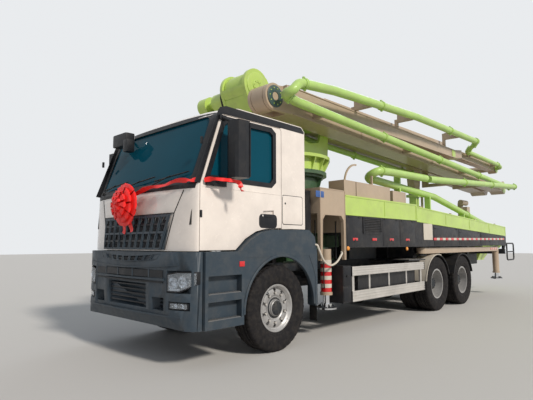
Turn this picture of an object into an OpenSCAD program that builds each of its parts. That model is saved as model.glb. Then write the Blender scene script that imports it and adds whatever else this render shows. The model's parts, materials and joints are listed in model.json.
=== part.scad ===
// Truck-mounted concrete pump with a five-arm folding boom.
// X points forwards, Y to the left, Z up. Lengths are in millimetres.
// Places along X are counted from the front axle; placed() shifts them to the model's own origin.

/* [Chassis] */
// Distance from the front axle to the first rear axle
wheelbase = 4800; // [4500:50:5200]
// Distance between the two rear axles
bogie_gap = 1370; // [1320:10:1450]
// Front axle to the front of the bumper
front_overhang = 1460; // [1400:10:1550]
// Outer radius of a tyre
tyre_r = 540; // [520:5:545]
// Width of a tyre
tyre_w = 310; // [280:5:320]
// Distance from the middle to a front wheel's centre
front_track_half = 1025; // [1000:5:1040]
// Distance from the middle to the middle of a rear twin
rear_track_half = 905; // [890:5:915]
// Gap between the two tyres of a twin
twin_gap = 30; // [20:5:40]
// Radius of the rim's outer flange
rim_r = 298; // [290:1:302]
// Outside width across the frame rails
frame_w = 850; // [780:10:870]
// Height of a frame rail
rail_h = 290; // [240:10:300]
// Height of the top of the frame rails
rail_top = 1060; // [1040:5:1070]

/* [Cab] */
// Outside width of the cab
cab_w = 2300; // [2240:10:2340]
// Front axle to the rear wall of the cab
cab_back = 580; // [560:5:600]
// Front axle to the front of the cab's panels
cab_front = 1390; // [1370:5:1400]
// Height of the cab's lower edge
cab_bottom = 1270; // [1250:5:1290]
// Height of the roof
cab_top = 2975; // [2950:5:2990]
// Thickness of the cab's walls and doors
wall = 60; // [50:5:70]
// Thickness of a glass pane
pane = 8; // [6:1:12]
// Gap round a door
door_gap = 8; // [6:1:12]

/* [Deck] */
// Half width over the side panels
deck_half = 1240; // [1220:5:1250]
// Height of the upper edge of the side panels at the front
panel_top = 2090; // [2050:10:2120]
// Height of the seam between the upper and lower panels
panel_seam = 1790; // [1750:10:1820]
// Height of the lower edge of the side panels
panel_bottom = 1290; // [1280:5:1310]
// Front axle to the rear end of the side panels
panel_end = 9430; // [9300:10:9500]
// Top of the boxes on the deck
box_top = 2335; // [2280:5:2360]

/* [Boom] */
// Front axle to the slewing axis
slew_x = 1500; // [1480:5:1520]
// Height of the top of the slewing ring
ring_top = 2540; // [2520:5:2560]
// Radius of the slewing ring
ring_r = 700; // [660:10:720]
// Middle of the first arm and of the turret head, to the left of the middle
arm1_y = 110; // [90:5:130]
// Width of the first arm
arm1_w = 420; // [380:10:430]
// Inner face of the second and third arms
arm2_in = 490; // [485:5:510]
// Width of the second and third arms
arm2_w = 360; // [320:10:370]
// Inner face of the fourth arm, to the right of the middle
arm4_in = 290; // [280:5:300]
// Width of the fourth arm
arm4_w = 250; // [220:10:260]
// Inner face of the fifth arm, to the right of the middle
arm5_in = 700; // [690:5:710]
// Width of the fifth arm
arm5_w = 200; // [160:10:210]
// Outer radius of the delivery pipes
pipe_r = 70; // [60:1:72]
// Outer radius of the slimmer pipes at the tip
slim_pipe_r = 58; // [50:1:60]
// Plate thickness of the turret's cheeks
cheek = 55; // [40:5:60]

/* [Hidden] */
$fn = 48;
tight = 0.1;
run_gap = 10;
// Gap between a straight pipe and the bend that it is clamped to
pipe_gap = 0.1;

// Boom pivots, as places along X and heights
p1 = [-400, 3740];
p2 = [-10900, 3080];
p3 = [-300, 3440];
p4 = [-10800, 3700];
p5 = [-420, 3660];
head1_r = 225;
head2_r = 200;
head3_r = 195;
head4_r = 160;
head5_r = 150;
pin_r = 60;

// The model's own X = 0 is the middle of its length
boom_tail = -p2[0] + head2_r;
front_axle_x = (boom_tail - front_overhang) / 2;
arm1_in = arm1_y - arm1_w / 2;
arm1_out = arm1_y + arm1_w / 2;
arm2_out = arm2_in + arm2_w;
mid_axle = -wheelbase;
rear_axle = -wheelbase - bogie_gap;

module placed() translate([front_axle_x, 0, 0]) children();

// An outline drawn in X and Z, as a slab from y0 to y1
module slab(y0, y1) translate([0, y1, 0]) rotate([90, 0, 0]) linear_extrude(y1 - y0) children();

// A round bar along Y
module bar_y(at, r, y0, y1) translate([at[0], y0, at[1]]) rotate([-90, 0, 0]) cylinder(r = r, h = y1 - y0);

// A box from one corner to the other
module block(a, b) translate(a) cube(b - a);

// Both sides alike
module both() {
  children();
  mirror([0, 1, 0]) children();
}

// A round bar from a to b
module bar(a, b, r) {
  d = b - a;
  translate(a) rotate([0, acos(d[2] / norm(d)), atan2(d[1], d[0])]) cylinder(r = r, h = norm(d));
}

function unit(v) = v / norm(v);
function knee_t(p, i, bend) = let (u = unit(p[i] - p[i - 1]), v = unit(p[i + 1] - p[i]))
  bend * tan(acos(min(1, u * v)) / 2);

// A bend from the direction u to the direction v, round the corner at b
module elbow(b, u, v, r, bend) {
  turn = acos(min(1, u * v));
  n = unit(v - (u * v) * u);
  c = b - u * bend * tan(turn / 2) + n * bend;
  z = cross(-n, u);
  multmatrix([[-n[0], u[0], z[0], c[0]], [-n[1], u[1], z[1], c[1]], [-n[2], u[2], z[2], c[2]], [0, 0, 0, 1]])
    rotate_extrude(angle = turn) translate([bend, 0]) circle(r = r);
}

// A pipe along a row of points, with a bend of its own radius at each inner point
module pipe_line(p, r, bends) {
  last = len(p) - 1;
  for (i = [0 : last - 1]) {
    u = unit(p[i + 1] - p[i]);
    t0 = i == 0 ? 0 : knee_t(p, i, bends[i - 1]) + pipe_gap;
    t1 = i == last - 1 ? 0 : knee_t(p, i + 1, bends[i]) + pipe_gap;
    if (norm(p[i + 1] - p[i]) - t0 - t1 > 0.5) bar(p[i] + u * t0, p[i + 1] - u * t1, r);
    if (i > 0) elbow(p[i], unit(p[i] - p[i - 1]), u, r, bends[i - 1]);
  }
}

/* CHASSIS */

rail_front = 1140;
rail_rear = -9400;
tail_beam_t = 80;

module tail_beam() block([rail_rear - tail_beam_t, -1200, rail_top], [rail_rear, 1200, 1200]);

module ladder_frame() color("#23282c") placed() {
  both() translate([rail_rear, 0, 0]) rotate([90, 0, 90]) linear_extrude(rail_front - rail_rear)
    polygon([
      [frame_w / 2, rail_top], [frame_w / 2 - 80, rail_top], [frame_w / 2 - 80, rail_top - 12],
      [frame_w / 2 - 12, rail_top - 12], [frame_w / 2 - 12, rail_top - rail_h + 12],
      [frame_w / 2 - 80, rail_top - rail_h + 12], [frame_w / 2 - 80, rail_top - rail_h],
      [frame_w / 2, rail_top - rail_h]
    ]);
  for (x = [1050, -900, -2600, -3900, -5485, -7200, -8900])
    block([x - 45, -frame_w / 2 + 12, rail_top - rail_h + 60], [x + 45, frame_w / 2 - 12, rail_top - 60]);
  // Cab mounts
  both() block([900, 300, rail_top], [1040, 420, cab_bottom]);
  both() block([-520, 340, rail_top], [-400, 420, arch_top]);
  // Brackets for the front fenders
  both() block([1000, frame_w / 2, 820], [1060, 1095, 900]);
  both() block([-735, frame_w / 2, 900], [-700, 1095, 960]);
  // Hinge brackets of the rear legs
  both() {
    block([leg_hinge[0] - 100, 340, rail_top], [leg_hinge[0] + 100, 960, leg_hi + 23]);
    for (z = [leg_lo - 40, leg_hi + 5]) {
      block([leg_hinge[0] - 100, 900, z], [leg_hinge[0] + 100, leg_hinge[1], z + 18]);
      translate([leg_hinge[0], leg_hinge[1], z]) cylinder(r = 100, h = 18);
    }
    translate([leg_hinge[0], leg_hinge[1], leg_lo - 40]) cylinder(r = 45, h = leg_hi - leg_lo + 60);
  }
  // Tail beam, with posts for the side panels
  tail_beam();
  both() {
    block([rail_rear - tail_beam_t, 300, rail_top - rail_h], [rail_rear, frame_w / 2, rail_top]);
    block([rail_rear - 30, 1130, 1190], [rail_rear, 1190, 1750]);
  }
}

// A handrail on each side, welded to the tail beam
module tail_rails() color("#23282c") placed() {
  both() difference() {
    union() {
      pipe_line([[-9450, 1150, 1128], [-9700, 1150, 1350], [-10450, 1150, 1350], [-10450, 1150, 880],
        [-9800, 1150, 880], [-9800, 1150, 1345]], 20, [80, 80, 80, 80]);
      bar([-9800, 1150, 1110], [-10450, 1150, 1110], 18);
    }
    tail_beam();
  }
}

module engine_block() color("#4b4f52") placed() {
  difference() {
    block([-560, -330, 660], [700, 330, 1235]);
    for (z = [660, 1235]) for (y = [-330, 330])
      translate([70, y, z]) rotate([45, 0, 0]) cube([1400, 110, 110], center = true);
  }
  for (x = [-400, 500]) block([x - 50, 12 - frame_w / 2, 880], [x + 50, frame_w / 2 - 12, 960]);
}

kingpin_y = 880;
kingpin_r = 24;
spindle_r = 50;

// A pack of leaf springs from x0 to x1, bowed down in its middle
module leaf_pack(x0, x1, z, leaves, y0, y1) {
  mid = (x0 + x1) / 2;
  for (i = [0 : leaves - 1]) {
    span = (x1 - x0) / 2 * (1 - i * 0.8 / leaves);
    slab(y0, y1) polygon([
      [mid - span, z - i * 16 + 60 * pow(span / (x1 - x0) * 2, 2)], [mid, z - i * 16],
      [mid + span, z - i * 16 + 60 * pow(span / (x1 - x0) * 2, 2)],
      [mid + span, z - i * 16 + 16 + 60 * pow(span / (x1 - x0) * 2, 2)], [mid, z - i * 16 + 16],
      [mid - span, z - i * 16 + 16 + 60 * pow(span / (x1 - x0) * 2, 2)]
    ]);
  }
}

module front_axle() color("#2b2f33") placed() {
  // I-beam with a boss for each kingpin
  difference() {
    union() {
      block([-55, -kingpin_y, 470], [55, kingpin_y, 510]);
      block([-20, -kingpin_y, 510], [20, kingpin_y, 560]);
      block([-55, -kingpin_y, 560], [55, kingpin_y, 600]);
      both() translate([0, kingpin_y, 450]) cylinder(r = 62, h = 180);
    }
    both() translate([0, kingpin_y, 400]) cylinder(r = kingpin_r + tight, h = 300);
  }
  both() {
    leaf_pack(-780, 780, 640, 3, 355, 435);
    block([-90, 365, 595], [90, 425, 615]);
    for (x = [-760, 760]) block([x - 40, 350, 700], [x + 40, frame_w / 2, rail_top - rail_h]);
  }
}

module rear_axles() color("#2b2f33") placed() {
  inner_face = rear_track_half - twin_gap / 2 - tyre_w;
  for (x = [mid_axle, rear_axle]) {
    bar_y([x, tyre_r], 75, -inner_face + 40, inner_face - 40);
    both() bar_y([x, tyre_r], spindle_r, inner_face - 40, rear_track_half + 90);
    translate([x, 0, tyre_r]) sphere(r = 205);
    bar([x, 0, tyre_r + 20], [x + 330, 0, tyre_r + 60], 90);
    both() block([x - 60, 430, tyre_r + 40], [x + 60, 520, 716]);
  }
  both() {
    leaf_pack(rear_axle - 60, mid_axle + 60, 652, 4, 435, 515);
    slab(frame_w / 2, 520) polygon([
      [(mid_axle + rear_axle) / 2 - 220, rail_top - 40], [(mid_axle + rear_axle) / 2 + 220, rail_top - 40],
      [(mid_axle + rear_axle) / 2 + 120, 600], [(mid_axle + rear_axle) / 2 - 120, 600]
    ]);
  }
  // Propeller shaft
  bar([-563, 0, 760], [mid_axle + 330, 0, tyre_r + 60], 50);
}

module knuckle(side) color("#33383c") placed() mirror([0, side < 0 ? 1 : 0, 0]) {
  translate([0, kingpin_y, 400]) cylinder(r = kingpin_r, h = 280);
  translate([0, kingpin_y, 390]) cylinder(r = 60, h = 50);
  translate([0, kingpin_y, 640]) cylinder(r = 60, h = 50);
  difference() {
    block([-60, kingpin_y, 390], [60, kingpin_y + 78, 690]);
    translate([0, kingpin_y, 440]) cylinder(r = 72, h = 200);
  }
  bar_y([0, tyre_r], spindle_r, kingpin_y + 76, front_track_half + 55);
}
module knuckle_left() knuckle(1);
module knuckle_right() knuckle(-1);

// A tyre's section: distance from the axle, then along it
function tyre_outline() = [
  [rim_r - 12, -rim_half + 12], [rim_r - 12, rim_half - 12], [rim_r + 2, rim_half - 12], [rim_r + 4, rim_half + 4],
  [tyre_r * 0.66, tyre_w * 0.46], [tyre_r * 0.76, tyre_w / 2], [tyre_r * 0.88, tyre_w * 0.49],
  [tyre_r * 0.965, tyre_w * 0.44], [tyre_r, tyre_w * 0.37],
  [tyre_r, -tyre_w * 0.37], [tyre_r * 0.965, -tyre_w * 0.44],
  [tyre_r * 0.88, -tyre_w * 0.49], [tyre_r * 0.76, -tyre_w / 2], [tyre_r * 0.66, -tyre_w * 0.46],
  [rim_r + 4, -rim_half - 4], [rim_r + 2, -rim_half + 12]
];
rim_half = 120;
module turned_y(y) translate([0, y, tyre_r]) rotate([-90, 0, 0]) rotate_extrude() children();

module tyre(y) turned_y(y) polygon(tyre_outline());

// Rim barrel with its flanges, and the disc's section as points from the barrel and back to it
barrel_r = rim_r - 30;
module rim_section(disc) polygon(concat([
  [barrel_r, -rim_half], [rim_r, -rim_half], [rim_r, -rim_half + 10], [rim_r - 13, -rim_half + 10],
  [rim_r - 13, rim_half - 10], [rim_r, rim_half - 10], [rim_r, rim_half], [barrel_r, rim_half]
], disc));
front_disc = [[barrel_r, 65], [215, 84], [150, 80], [150, 62], [215, 66], [barrel_r, 44]];
twin_disc = [[barrel_r, -60], [222, -142], [150, -148], [150, -166], [230, -160], [barrel_r, -90]];

module hand_holes(y) for (a = [18 : 36 : 359])
  translate([0, y, tyre_r]) rotate([-90, 0, 0]) rotate([0, 0, a]) translate([228, 0, -140]) cylinder(r = 24, h = 280);

module wheel_front(side) color("#2a2b2c") placed() mirror([0, side < 0 ? 1 : 0, 0]) {
  tyre(front_track_half);
  difference() {
    union() {
      turned_y(front_track_half) rim_section(front_disc);
      turned_y(front_track_half) polygon([
        [spindle_r + tight, -58], [120, -58], [120, 40], [152, 62], [152, 78], [105, 84], [100, 118],
        [0, 124], [0, 62], [spindle_r + tight, 62]
      ]);
    }
    hand_holes(front_track_half + 60);
  }
}
module wheel_front_left() wheel_front(1);
module wheel_front_right() wheel_front(-1);

module wheels_twin(x, side) color("#2a2b2c") placed() translate([x, 0, 0]) mirror([0, side < 0 ? 1 : 0, 0]) {
  offset_y = (tyre_w + twin_gap) / 2;
  for (s = [-1, 1]) tyre(rear_track_half + s * offset_y);
  difference() {
    union() {
      turned_y(rear_track_half + offset_y) rim_section(twin_disc);
      turned_y(rear_track_half - offset_y) mirror([0, 1]) rim_section(twin_disc);
      turned_y(rear_track_half) polygon([
        [spindle_r + tight, -160], [130, -160], [130, -40], [152, -34], [152, 42], [128, 60], [122, 190],
        [0, 196], [0, 95], [spindle_r + tight, 95]
      ]);
    }
    hand_holes(rear_track_half);
  }
}
module wheels_mid_left() wheels_twin(mid_axle, 1);
module wheels_mid_right() wheels_twin(mid_axle, -1);
module wheels_rear_left() wheels_twin(rear_axle, 1);
module wheels_rear_right() wheels_twin(rear_axle, -1);

/* CAB */

arch_top = 1545;
// Cab's side outline: place, height, and the way each corner moves when a wall is taken off
function cab_outline(t) = [for (c = [
  [cab_front, cab_bottom, -1, 1], [720, cab_bottom, -0.4, 1], [560, 1400, -0.3, 1], [380, 1490, -0.2, 1],
  [200, 1530, -0.1, 1], [-300, arch_top, 0, 1], [-cab_back, arch_top, 1, 1], [-cab_back, cab_top - 60, 1, -1],
  [-cab_back + 70, cab_top, 0.7, -1], [880, cab_top, 0, -1], [1000, cab_top - 70, -1, -0.6],
  [1330, 2020, -1.05, -0.3], [1370, 1700, -1, 0]
]) [c[0] + t * c[2], c[1] + t * c[3]]];

// A door's outline, drawn in by t all round
function door_outline(t) = [
  [1250 - t, 1280 + t], [1250 - t, 2010], [985 - t, 2790 - t], [930, 2850 - t], [-60 + t, 2865 - t],
  [-85 + t, 2840], [-85 + t, 1556 + t], [200, 1541 + t], [386, 1500 + t], [568, 1409 + t], [722, 1280 + t]
];

function window_outline() = [
  [1130, 2110], [905, 2750], [860, 2785], [120, 2800], [62, 2760], [62, 2170], [120, 2105]
];

// Windscreen opening between two heights
screen_low = 2060;
screen_high = 2860;
screen_half = 1020;
function screen_x(z) = 1330 - 330 * (z - 2020) / (cab_top - 70 - 2020);

// Inner and outer faces of the fenders, from the middle
fender_in = cab_w / 2 - 55;
fender_out = cab_w / 2 + 86;

module cab_shell() color("#e9dfd6") placed() {
  difference() {
    slab(-cab_w / 2, cab_w / 2) polygon(cab_outline(0));
    slab(-cab_w / 2 + wall, cab_w / 2 - wall) polygon(cab_outline(wall));
    both() slab(cab_w / 2 - wall - 1, cab_w / 2 + 1) {
      polygon(door_outline(-door_gap));
      polygon([[1250 + door_gap, 1200], [1250 + door_gap, 1400], [-85 - door_gap, 1700], [-85 - door_gap, 1200]]);
    }
    slab(-screen_half, screen_half) polygon([
      [screen_x(screen_low) + 60, screen_low], [screen_x(screen_low) - 140, screen_low],
      [screen_x(screen_high) - 140, screen_high], [screen_x(screen_high) + 60, screen_high]
    ]);
    // Rear window
    block([-cab_back - 1, -520, 2250], [-cab_back + wall + 1, 520, 2720]);
  }
  // Brackets for the fenders
  both() block([-540, fender_in - 50, 1478], [-440, fender_in, arch_top + 20]);
}

module cab_glass() color("#16324f") placed() {
  slab(-screen_half, screen_half) polygon([
    [screen_x(screen_low) - 20, screen_low], [screen_x(screen_low) - 20 - pane, screen_low],
    [screen_x(screen_high) - 20 - pane, screen_high], [screen_x(screen_high) - 20, screen_high]
  ]);
  block([-cab_back + 20, -520, 2250], [-cab_back + 20 + pane, 520, 2720]);
}

module door_panel(side) color("#e9dfd6") placed() mirror([0, side < 0 ? 1 : 0, 0]) {
  difference() {
    slab(cab_w / 2 - wall, cab_w / 2) polygon(door_outline(0));
    slab(cab_w / 2 - wall - 1, cab_w / 2 + 1) polygon(window_outline());
    // Hand recess
    slab(cab_w / 2 - 25, cab_w / 2 + 1) polygon([[250, 1760], [60, 1775], [55, 1650], [230, 1640], [275, 1690]]);
  }
}
module door_left() door_panel(1);
module door_right() door_panel(-1);

module door_pane(side) color("#16324f") placed() mirror([0, side < 0 ? 1 : 0, 0])
  slab(cab_w / 2 - 34, cab_w / 2 - 34 + pane) polygon(window_outline());
module door_glass_left() door_pane(1);
module door_glass_right() door_pane(-1);

module mirror_set(side) color("#15181c") placed() mirror([0, side < 0 ? 1 : 0, 0]) {
  translate([0, 0, 2080]) linear_extrude(650) polygon([
    [980, cab_w / 2 + 140], [1000, cab_w / 2 + 180], [1000, cab_w / 2 + 290], [975, cab_w / 2 + 320],
    [880, cab_w / 2 + 340], [815, cab_w / 2 + 330], [815, cab_w / 2 + 125], [900, cab_w / 2 + 112]
  ]);
  bar([1060, cab_w / 2 + 26, 2050], [930, cab_w / 2 + 200, 2095], 18);
  bar([960, cab_w / 2 + 20, 2810], [910, cab_w / 2 + 200, 2715], 16);
  block([900, cab_w / 2, 2000], [1180, cab_w / 2 + 40, 2085]);
  block([900, cab_w / 2, 2785], [1000, cab_w / 2 + 30, 2835]);
}
module mirror_left() mirror_set(1);
module mirror_right() mirror_set(-1);

function floor_z(x) = 1590 + 15 * (194 - x) / 494;
// Place along X, at height z, on the line from a to b, a fifth of a millimetre behind it
function on_line(a, b, z) = a[0] + (b[0] - a[0]) * (z - a[1]) / (b[1] - a[1]) - 0.2;
module seat(y) {
  block([-150, y - 240, arch_top + 140], [330, y + 240, arch_top + 280]);
  slab(y - 160, y + 160) polygon([
    [-60, floor_z(-60) + 0.2], [190, floor_z(190) + 0.2], [190, arch_top + 145], [-60, arch_top + 145]
  ]);
  slab(y - 230, y + 230) polygon([
    [-150, arch_top + 280], [-20, arch_top + 280], [-150, 2560], [-260, 2560]
  ]);
}

module cab_interior() color("#3a3532") placed() {
  for (y = [-560, 560]) seat(y);
  // Dashboard across the front, against the inside of the front wall
  inner = cab_outline(wall);
  slab(-cab_w / 2 + wall + 10, cab_w / 2 - wall - 10) polygon([
    [on_line(inner[12], inner[0], 1560), 1560], inner[12] - [0.2, 0], [on_line(inner[11], inner[12], 1960), 1960],
    [1000, 2010], [860, 1900], [900, 1700], [1060, 1560]
  ]);
  // Steering column and wheel
  bar([960, 560, 1850], [740, 560, 2010], 28);
  translate([740, 560, 2010]) rotate([0, -54, 0]) rotate_extrude() translate([205, 0]) circle(r = 16);
  translate([740, 560, 2010]) rotate([0, -54, 0]) for (a = [90, 210, 330]) rotate([0, 0, a])
    translate([0, -14, -6]) cube([195, 28, 12]);
}

bumper_top = 1262;
bumper_half = cab_w / 2 + 45;
module bumper_plan() polygon([
  [1140, 195 - bumper_half], [1240, 195 - bumper_half], [1240, -bumper_half], [1300, 15 - bumper_half],
  [1400, 145 - bumper_half], [1445, 375 - bumper_half], [front_overhang, -500], [front_overhang, 500],
  [1445, bumper_half - 375], [1400, bumper_half - 145], [1300, bumper_half - 15], [1240, bumper_half],
  [1240, bumper_half - 195], [1140, bumper_half - 195]
]);
module bumper() color("#2c353d") placed() difference() {
  intersection() {
    translate([0, 0, 420]) linear_extrude(bumper_top - 420) bumper_plan();
    slab(-1300, 1300) polygon([
      [1140, 480], [1240, 425], [1380, 430], [1440, 560], [front_overhang, 760], [front_overhang, 1120],
      [1430, bumper_top], [1140, bumper_top]
    ]);
  }
  // Recess behind the number plate and the lower air inlets
  block([1420, -430, 620], [1500, 430, 900]);
  both() block([1330, 560, 620], [1500, 780, 760]);
  // Headlamp and fog lamp seats
  both() block([1330, 830, 820], [1500, 1300, 1060]);
  both() block([1330, 860, 640], [1500, 1130, 730]);
}

function front_x(z) = cab_front + 0.3 - 20 * (z - cab_bottom) / (1700 - cab_bottom);
module grille() color("#2c353d") placed() {
  difference() {
    slab(-760, 760) polygon([
      [front_x(1280), 1280], [1445, 1290], [1438, 1480], [1400, 1690], [front_x(1690), 1690]
    ]);
    // Two rows of openings on each side of the middle
    for (row = [0, 1]) for (i = [0 : 9])
      block([1405, -700 + i * 142, 1330 + row * 180], [1500, -700 + i * 142 + 110, 1450 + row * 180]);
  }
}

module lamps() color("#dfe6ea") placed() {
  both() {
    intersection() {
      union() {
        block([1330, 835, 825], [1500, 1200, 1055]);
        block([1330, 865, 645], [1500, 1120, 725]);
      }
      translate([0, 0, 600]) linear_extrude(500) bumper_plan();
    }
    // Side marker, tail and amber lamps
    block([660, 1236, 1090], [740, 1242, 1150]);
    block([-9518, 940, 1080], [-9480, 1120, 1190]);
  }
}

module cab_fenders() color("#39434a") placed() both() difference() {
  slab(fender_in, fender_out) polygon([
    [1232, bumper_top], [716, bumper_top], [556, 1392], [376, 1482], [196, 1522], [-560, 1537], [-680, 1450],
    [-735, 1250], [-735, 520], [-690, 520], [-690, 900], [-660, 1000], [-560, 1190], [660, 1190], [660, 430],
    [1232, 430]
  ]);
  bar_y([0, tyre_r], 650, 1000, 1300);
  // Steps in front of the wheel
  for (z = [520, 800]) block([700, 1150, z], [1190, 1300, z + 200]);
}

/* DECK */

column_r = 560;
leg_hinge = [-4350, 1090];
leg_lo = 1150;
leg_hi = 1265;
front_jack = [-1190, 1050];
rear_jack = [-8950, 1090];
front_leg_w = 160;
// Height of the lower face of each front leg's beam: left, right
function front_leg_z(side) = side > 0 ? 1110 : 1310;
function deck_z(x) = x > -3860 ? 2040 : 2040 + (x + 3860) * 260 / 5570;

module along_leg(side) translate([front_jack[0], side * front_jack[1], 0]) rotate([0, 0, side * 60]) children();

module pedestal() color("#2a4a31") placed() {
  difference() {
    union() {
      block([-2300, -frame_w / 2, rail_top], [-950, frame_w / 2, 1090]);
      for (side = [1, -1]) along_leg(side)
        block([-1930, -100, front_leg_z(side) - 20], [-250, 100, front_leg_z(side) + 180]);
      block([-2050, -480, 1085], [-950, 480, 1510]);
      translate([-slew_x, 0, 1510]) cylinder(r = column_r, h = ring_top - 100 - 1510);
    }
    for (side = [1, -1]) along_leg(side)
      block([-2400, -front_leg_w / 2 - tight, front_leg_z(side) - tight],
        [300, front_leg_w / 2 + tight, front_leg_z(side) + 160 + tight]);
  }
  // Slewing ring with its bolts
  translate([-slew_x, 0, ring_top - 100]) cylinder(r = ring_r - 60, h = 40);
  translate([-slew_x, 0, ring_top - 60]) cylinder(r = ring_r, h = 60);
}

module panel_sheet() slab(1190, deck_half) children();

module upper_panels() color("#a3c644") placed() {
  both() panel_sheet() polygon([
    [-1450, panel_top], [-3860, panel_top], [-3860, panel_top - 30], [-panel_end, 1810], [-panel_end, 1550],
    [-3860, 1760], [-3860, panel_seam - 10], [-1450, panel_seam - 10]
  ]);
  difference() {
    slab(-1190, 1190) polygon([
      [-1450, deck_z(0)], [-3860, deck_z(0)], [-8300, deck_z(-8300)], [-8300, deck_z(-8300) - 30],
      [-3860, deck_z(0) - 30], [-1450, deck_z(0) - 30]
    ]);
    translate([-slew_x, 0, 1900]) cylinder(r = column_r + 10, h = 300);
  }
  // Beams on the deck, and the boom's rest
  both() slab(640, 720) polygon([
    [-3600, deck_z(0)], [-3600, 2200], [-7600, 1960], [-7600, deck_z(-7600) - 5], [-3860, deck_z(0) - 10]
  ]);
  for (x = [-6150, -6250]) block([x - 30, 20, deck_z(-6200) - 15], [x + 30, 200, 2480]);
  block([-6320, -40, 2480], [-6080, 260, 2545]);
}

module lower_panels() color("#26292c") placed() {
  both() {
    panel_sheet() difference() {
      polygon([
        [-1450, panel_seam - 15], [-3860, panel_seam - 15], [-3860, 1755], [-panel_end, 1545],
        [-panel_end, panel_bottom], [-1450, panel_bottom]
      ]);
    }
    // Bulkheads from the frame to the deck
    for (x = [-2420, -3900, -6500, -8260]) {
      block([x - 20, 560, panel_bottom], [x + 20, 1190, deck_z(x - 20) - 31]);
      block([x - 20, 360, rail_top], [x + 20, 600, panel_bottom + 20]);
    }
    // Mudguards
    for (x = [mid_axle, rear_axle]) {
      difference() {
        bar_y([x, tyre_r], 585, 552, 1237);
        bar_y([x, tyre_r], 570, 540, 1240);
        block([x - 700, 500, -100], [x + 700, 1300, 700]);
      }
      block([x - 40, 380, rail_top], [x + 40, 562, 1112]);
    }
  }
}

// A box that stands on the deck and follows its slope
module on_deck(x0, x1, y0, y1, top) slab(y0, y1)
  polygon([[x0, deck_z(x0) + 0.3], [x1, deck_z(x1) + 0.3], [x1, top], [x0, top]]);

module deck_boxes() color("#a8907f") placed() {
  both() {
    on_deck(-1830, -1500, 900, 1190, box_top);
    on_deck(-2950, -1850, 900, 1190, box_top);
    on_deck(-3550, -3050, 900, 1190, box_top - 40);
    // Cover over the front leg's end
    slab(1190, deck_half) polygon([
      [-810, 1110], [-850, 1110], [-870, 1690], [-930, 1760], [-1330, 1760], [-1390, 1690], [-1400, 1110],
      [-1445, 1110], [-1445, 2150], [-810, 2150]
    ]);
    difference() {
      union() {
        block([-1445, 480, 2110], [-810, 1190, 2150]);
        for (x = [-1445, -840]) block([x, 480, 1780], [x + 30, 1190, 2110]);
        block([-1445, 480, 1520], [-1415, 1190, 1800]);
      }
      translate([-slew_x, 0, 1500]) cylinder(r = column_r, h = 700);
    }
    // Curved guard
    difference() {
      bar_y([-2300, box_top - 5], 380, 900, 920);
      bar_y([-2300, box_top - 5], 350, 890, 930);
      block([-2300, 880, 1900], [-1900, 940, 2330]);
      block([-2700, 880, 1900], [-2300, 940, 3000]);
    }
    block([-2470, 1100, box_top - 10], [-2440, 1130, 2500]);
  }
  on_deck(-7800, -7600, 750, 870, 2290);
  both() for (x = [-5200, -5500]) on_deck(x - 20, x + 20, 740, 780, 2420);
  on_deck(-8200, -8100, 450, 560, 2440);
  bar([-8300, 600, 2440], [-7900, 600, 2440], 70);
  block([-8180, 480, 2380], [-8120, 600, 2420]);
}

module guard_rails() color("#c9ccce") placed() both() {
  for (z = [[860, 1000], [470, 630]]) block([-4120, 1205, z[0]], [-1590, 1240, z[1]]);
  for (x = [-1680, -4040]) {
    block([x - 30, 1175, 470], [x + 30, 1205, 1000]);
    block([x - 30, frame_w / 2, 880], [x + 30, 1180, 940]);
  }
}

module chassis_boxes() color("#1b1d1f") placed() {
  both() {
    // Box at the front end of the guard rails
    block([-1580, 900, 470], [-1360, 1235, 1020]);
    block([-1560, frame_w / 2, 800], [-1380, 920, 960]);
    // Tread plate
    block([-4200, frame_w / 2, 1030], [-3500, 1235, 1050]);
    // Intake panel behind the cab
    block([-750, 700, 1500], [-640, 1120, 2100]);
    block([-780, 380, 1440], [-700, 1000, 1500]);
    block([-780, 380, rail_top], [-700, 425, 1450]);
  }
  // Tank on the left, air vessels and a box on the right
  difference() {
    block([-3900, 600, 450], [-1900, 1150, 950]);
    for (y = [600, 1150]) for (z = [450, 950]) translate([-2900, y, z]) rotate([45, 0, 0])
      cube([2100, 90, 90], center = true);
  }
  for (x = [-2200, -3600]) block([x - 40, frame_w / 2, 780], [x + 40, 610, 900]);
  for (z = [600, 880]) bar([-3900, -950, z], [-2700, -950, z], 125);
  for (x = [-2900, -3700]) block([x - 30, -900, 560], [x + 30, -frame_w / 2, 900]);
  block([-2600, -1150, 450], [-1900, -600, 1000]);
  block([-2400, -610, 780], [-2100, -frame_w / 2, 900]);
}

grate_hinge = [-9520, 1700];
// The hopper's mouth and foot along X and their half-widths, outside
mouth_x = [-10600, -9500];
mouth_half = 750;
foot_x = [-10250, -9700];
foot_half = 380;
foot_z = 860;
floor_top = 900;
shoulder_z = 1560;
rim_z = 1640;
flange_z = 1600;
flange_x = [-10640, -9480];
flange_half = 790;
sheet_t = 12;
// Weld seam between the hopper's sheets
seam = 0.1;

// Space between the rear and front walls' faces, and between the side walls' faces, drawn in by t
module hopper_length(t) slab(-mouth_half, mouth_half) polygon([
  [mouth_x[0] + t, shoulder_z - seam], [foot_x[0] + t, floor_top], [foot_x[1] - t, floor_top],
  [mouth_x[1] - t, shoulder_z - seam]
]);
module hopper_width(t) translate([mouth_x[0], 0, 0]) rotate([90, 0, 90])
  linear_extrude(mouth_x[1] - mouth_x[0]) polygon([
    [t - mouth_half, shoulder_z - seam], [t - foot_half, floor_top], [foot_half - t, floor_top],
    [mouth_half - t, shoulder_z - seam]
  ]);

// Outer face of the hopper's front wall at a height
function front_wall_x(z) =
  foot_x[1] + (mouth_x[1] - foot_x[1]) * (z - floor_top) / (shoulder_z - floor_top);

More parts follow.
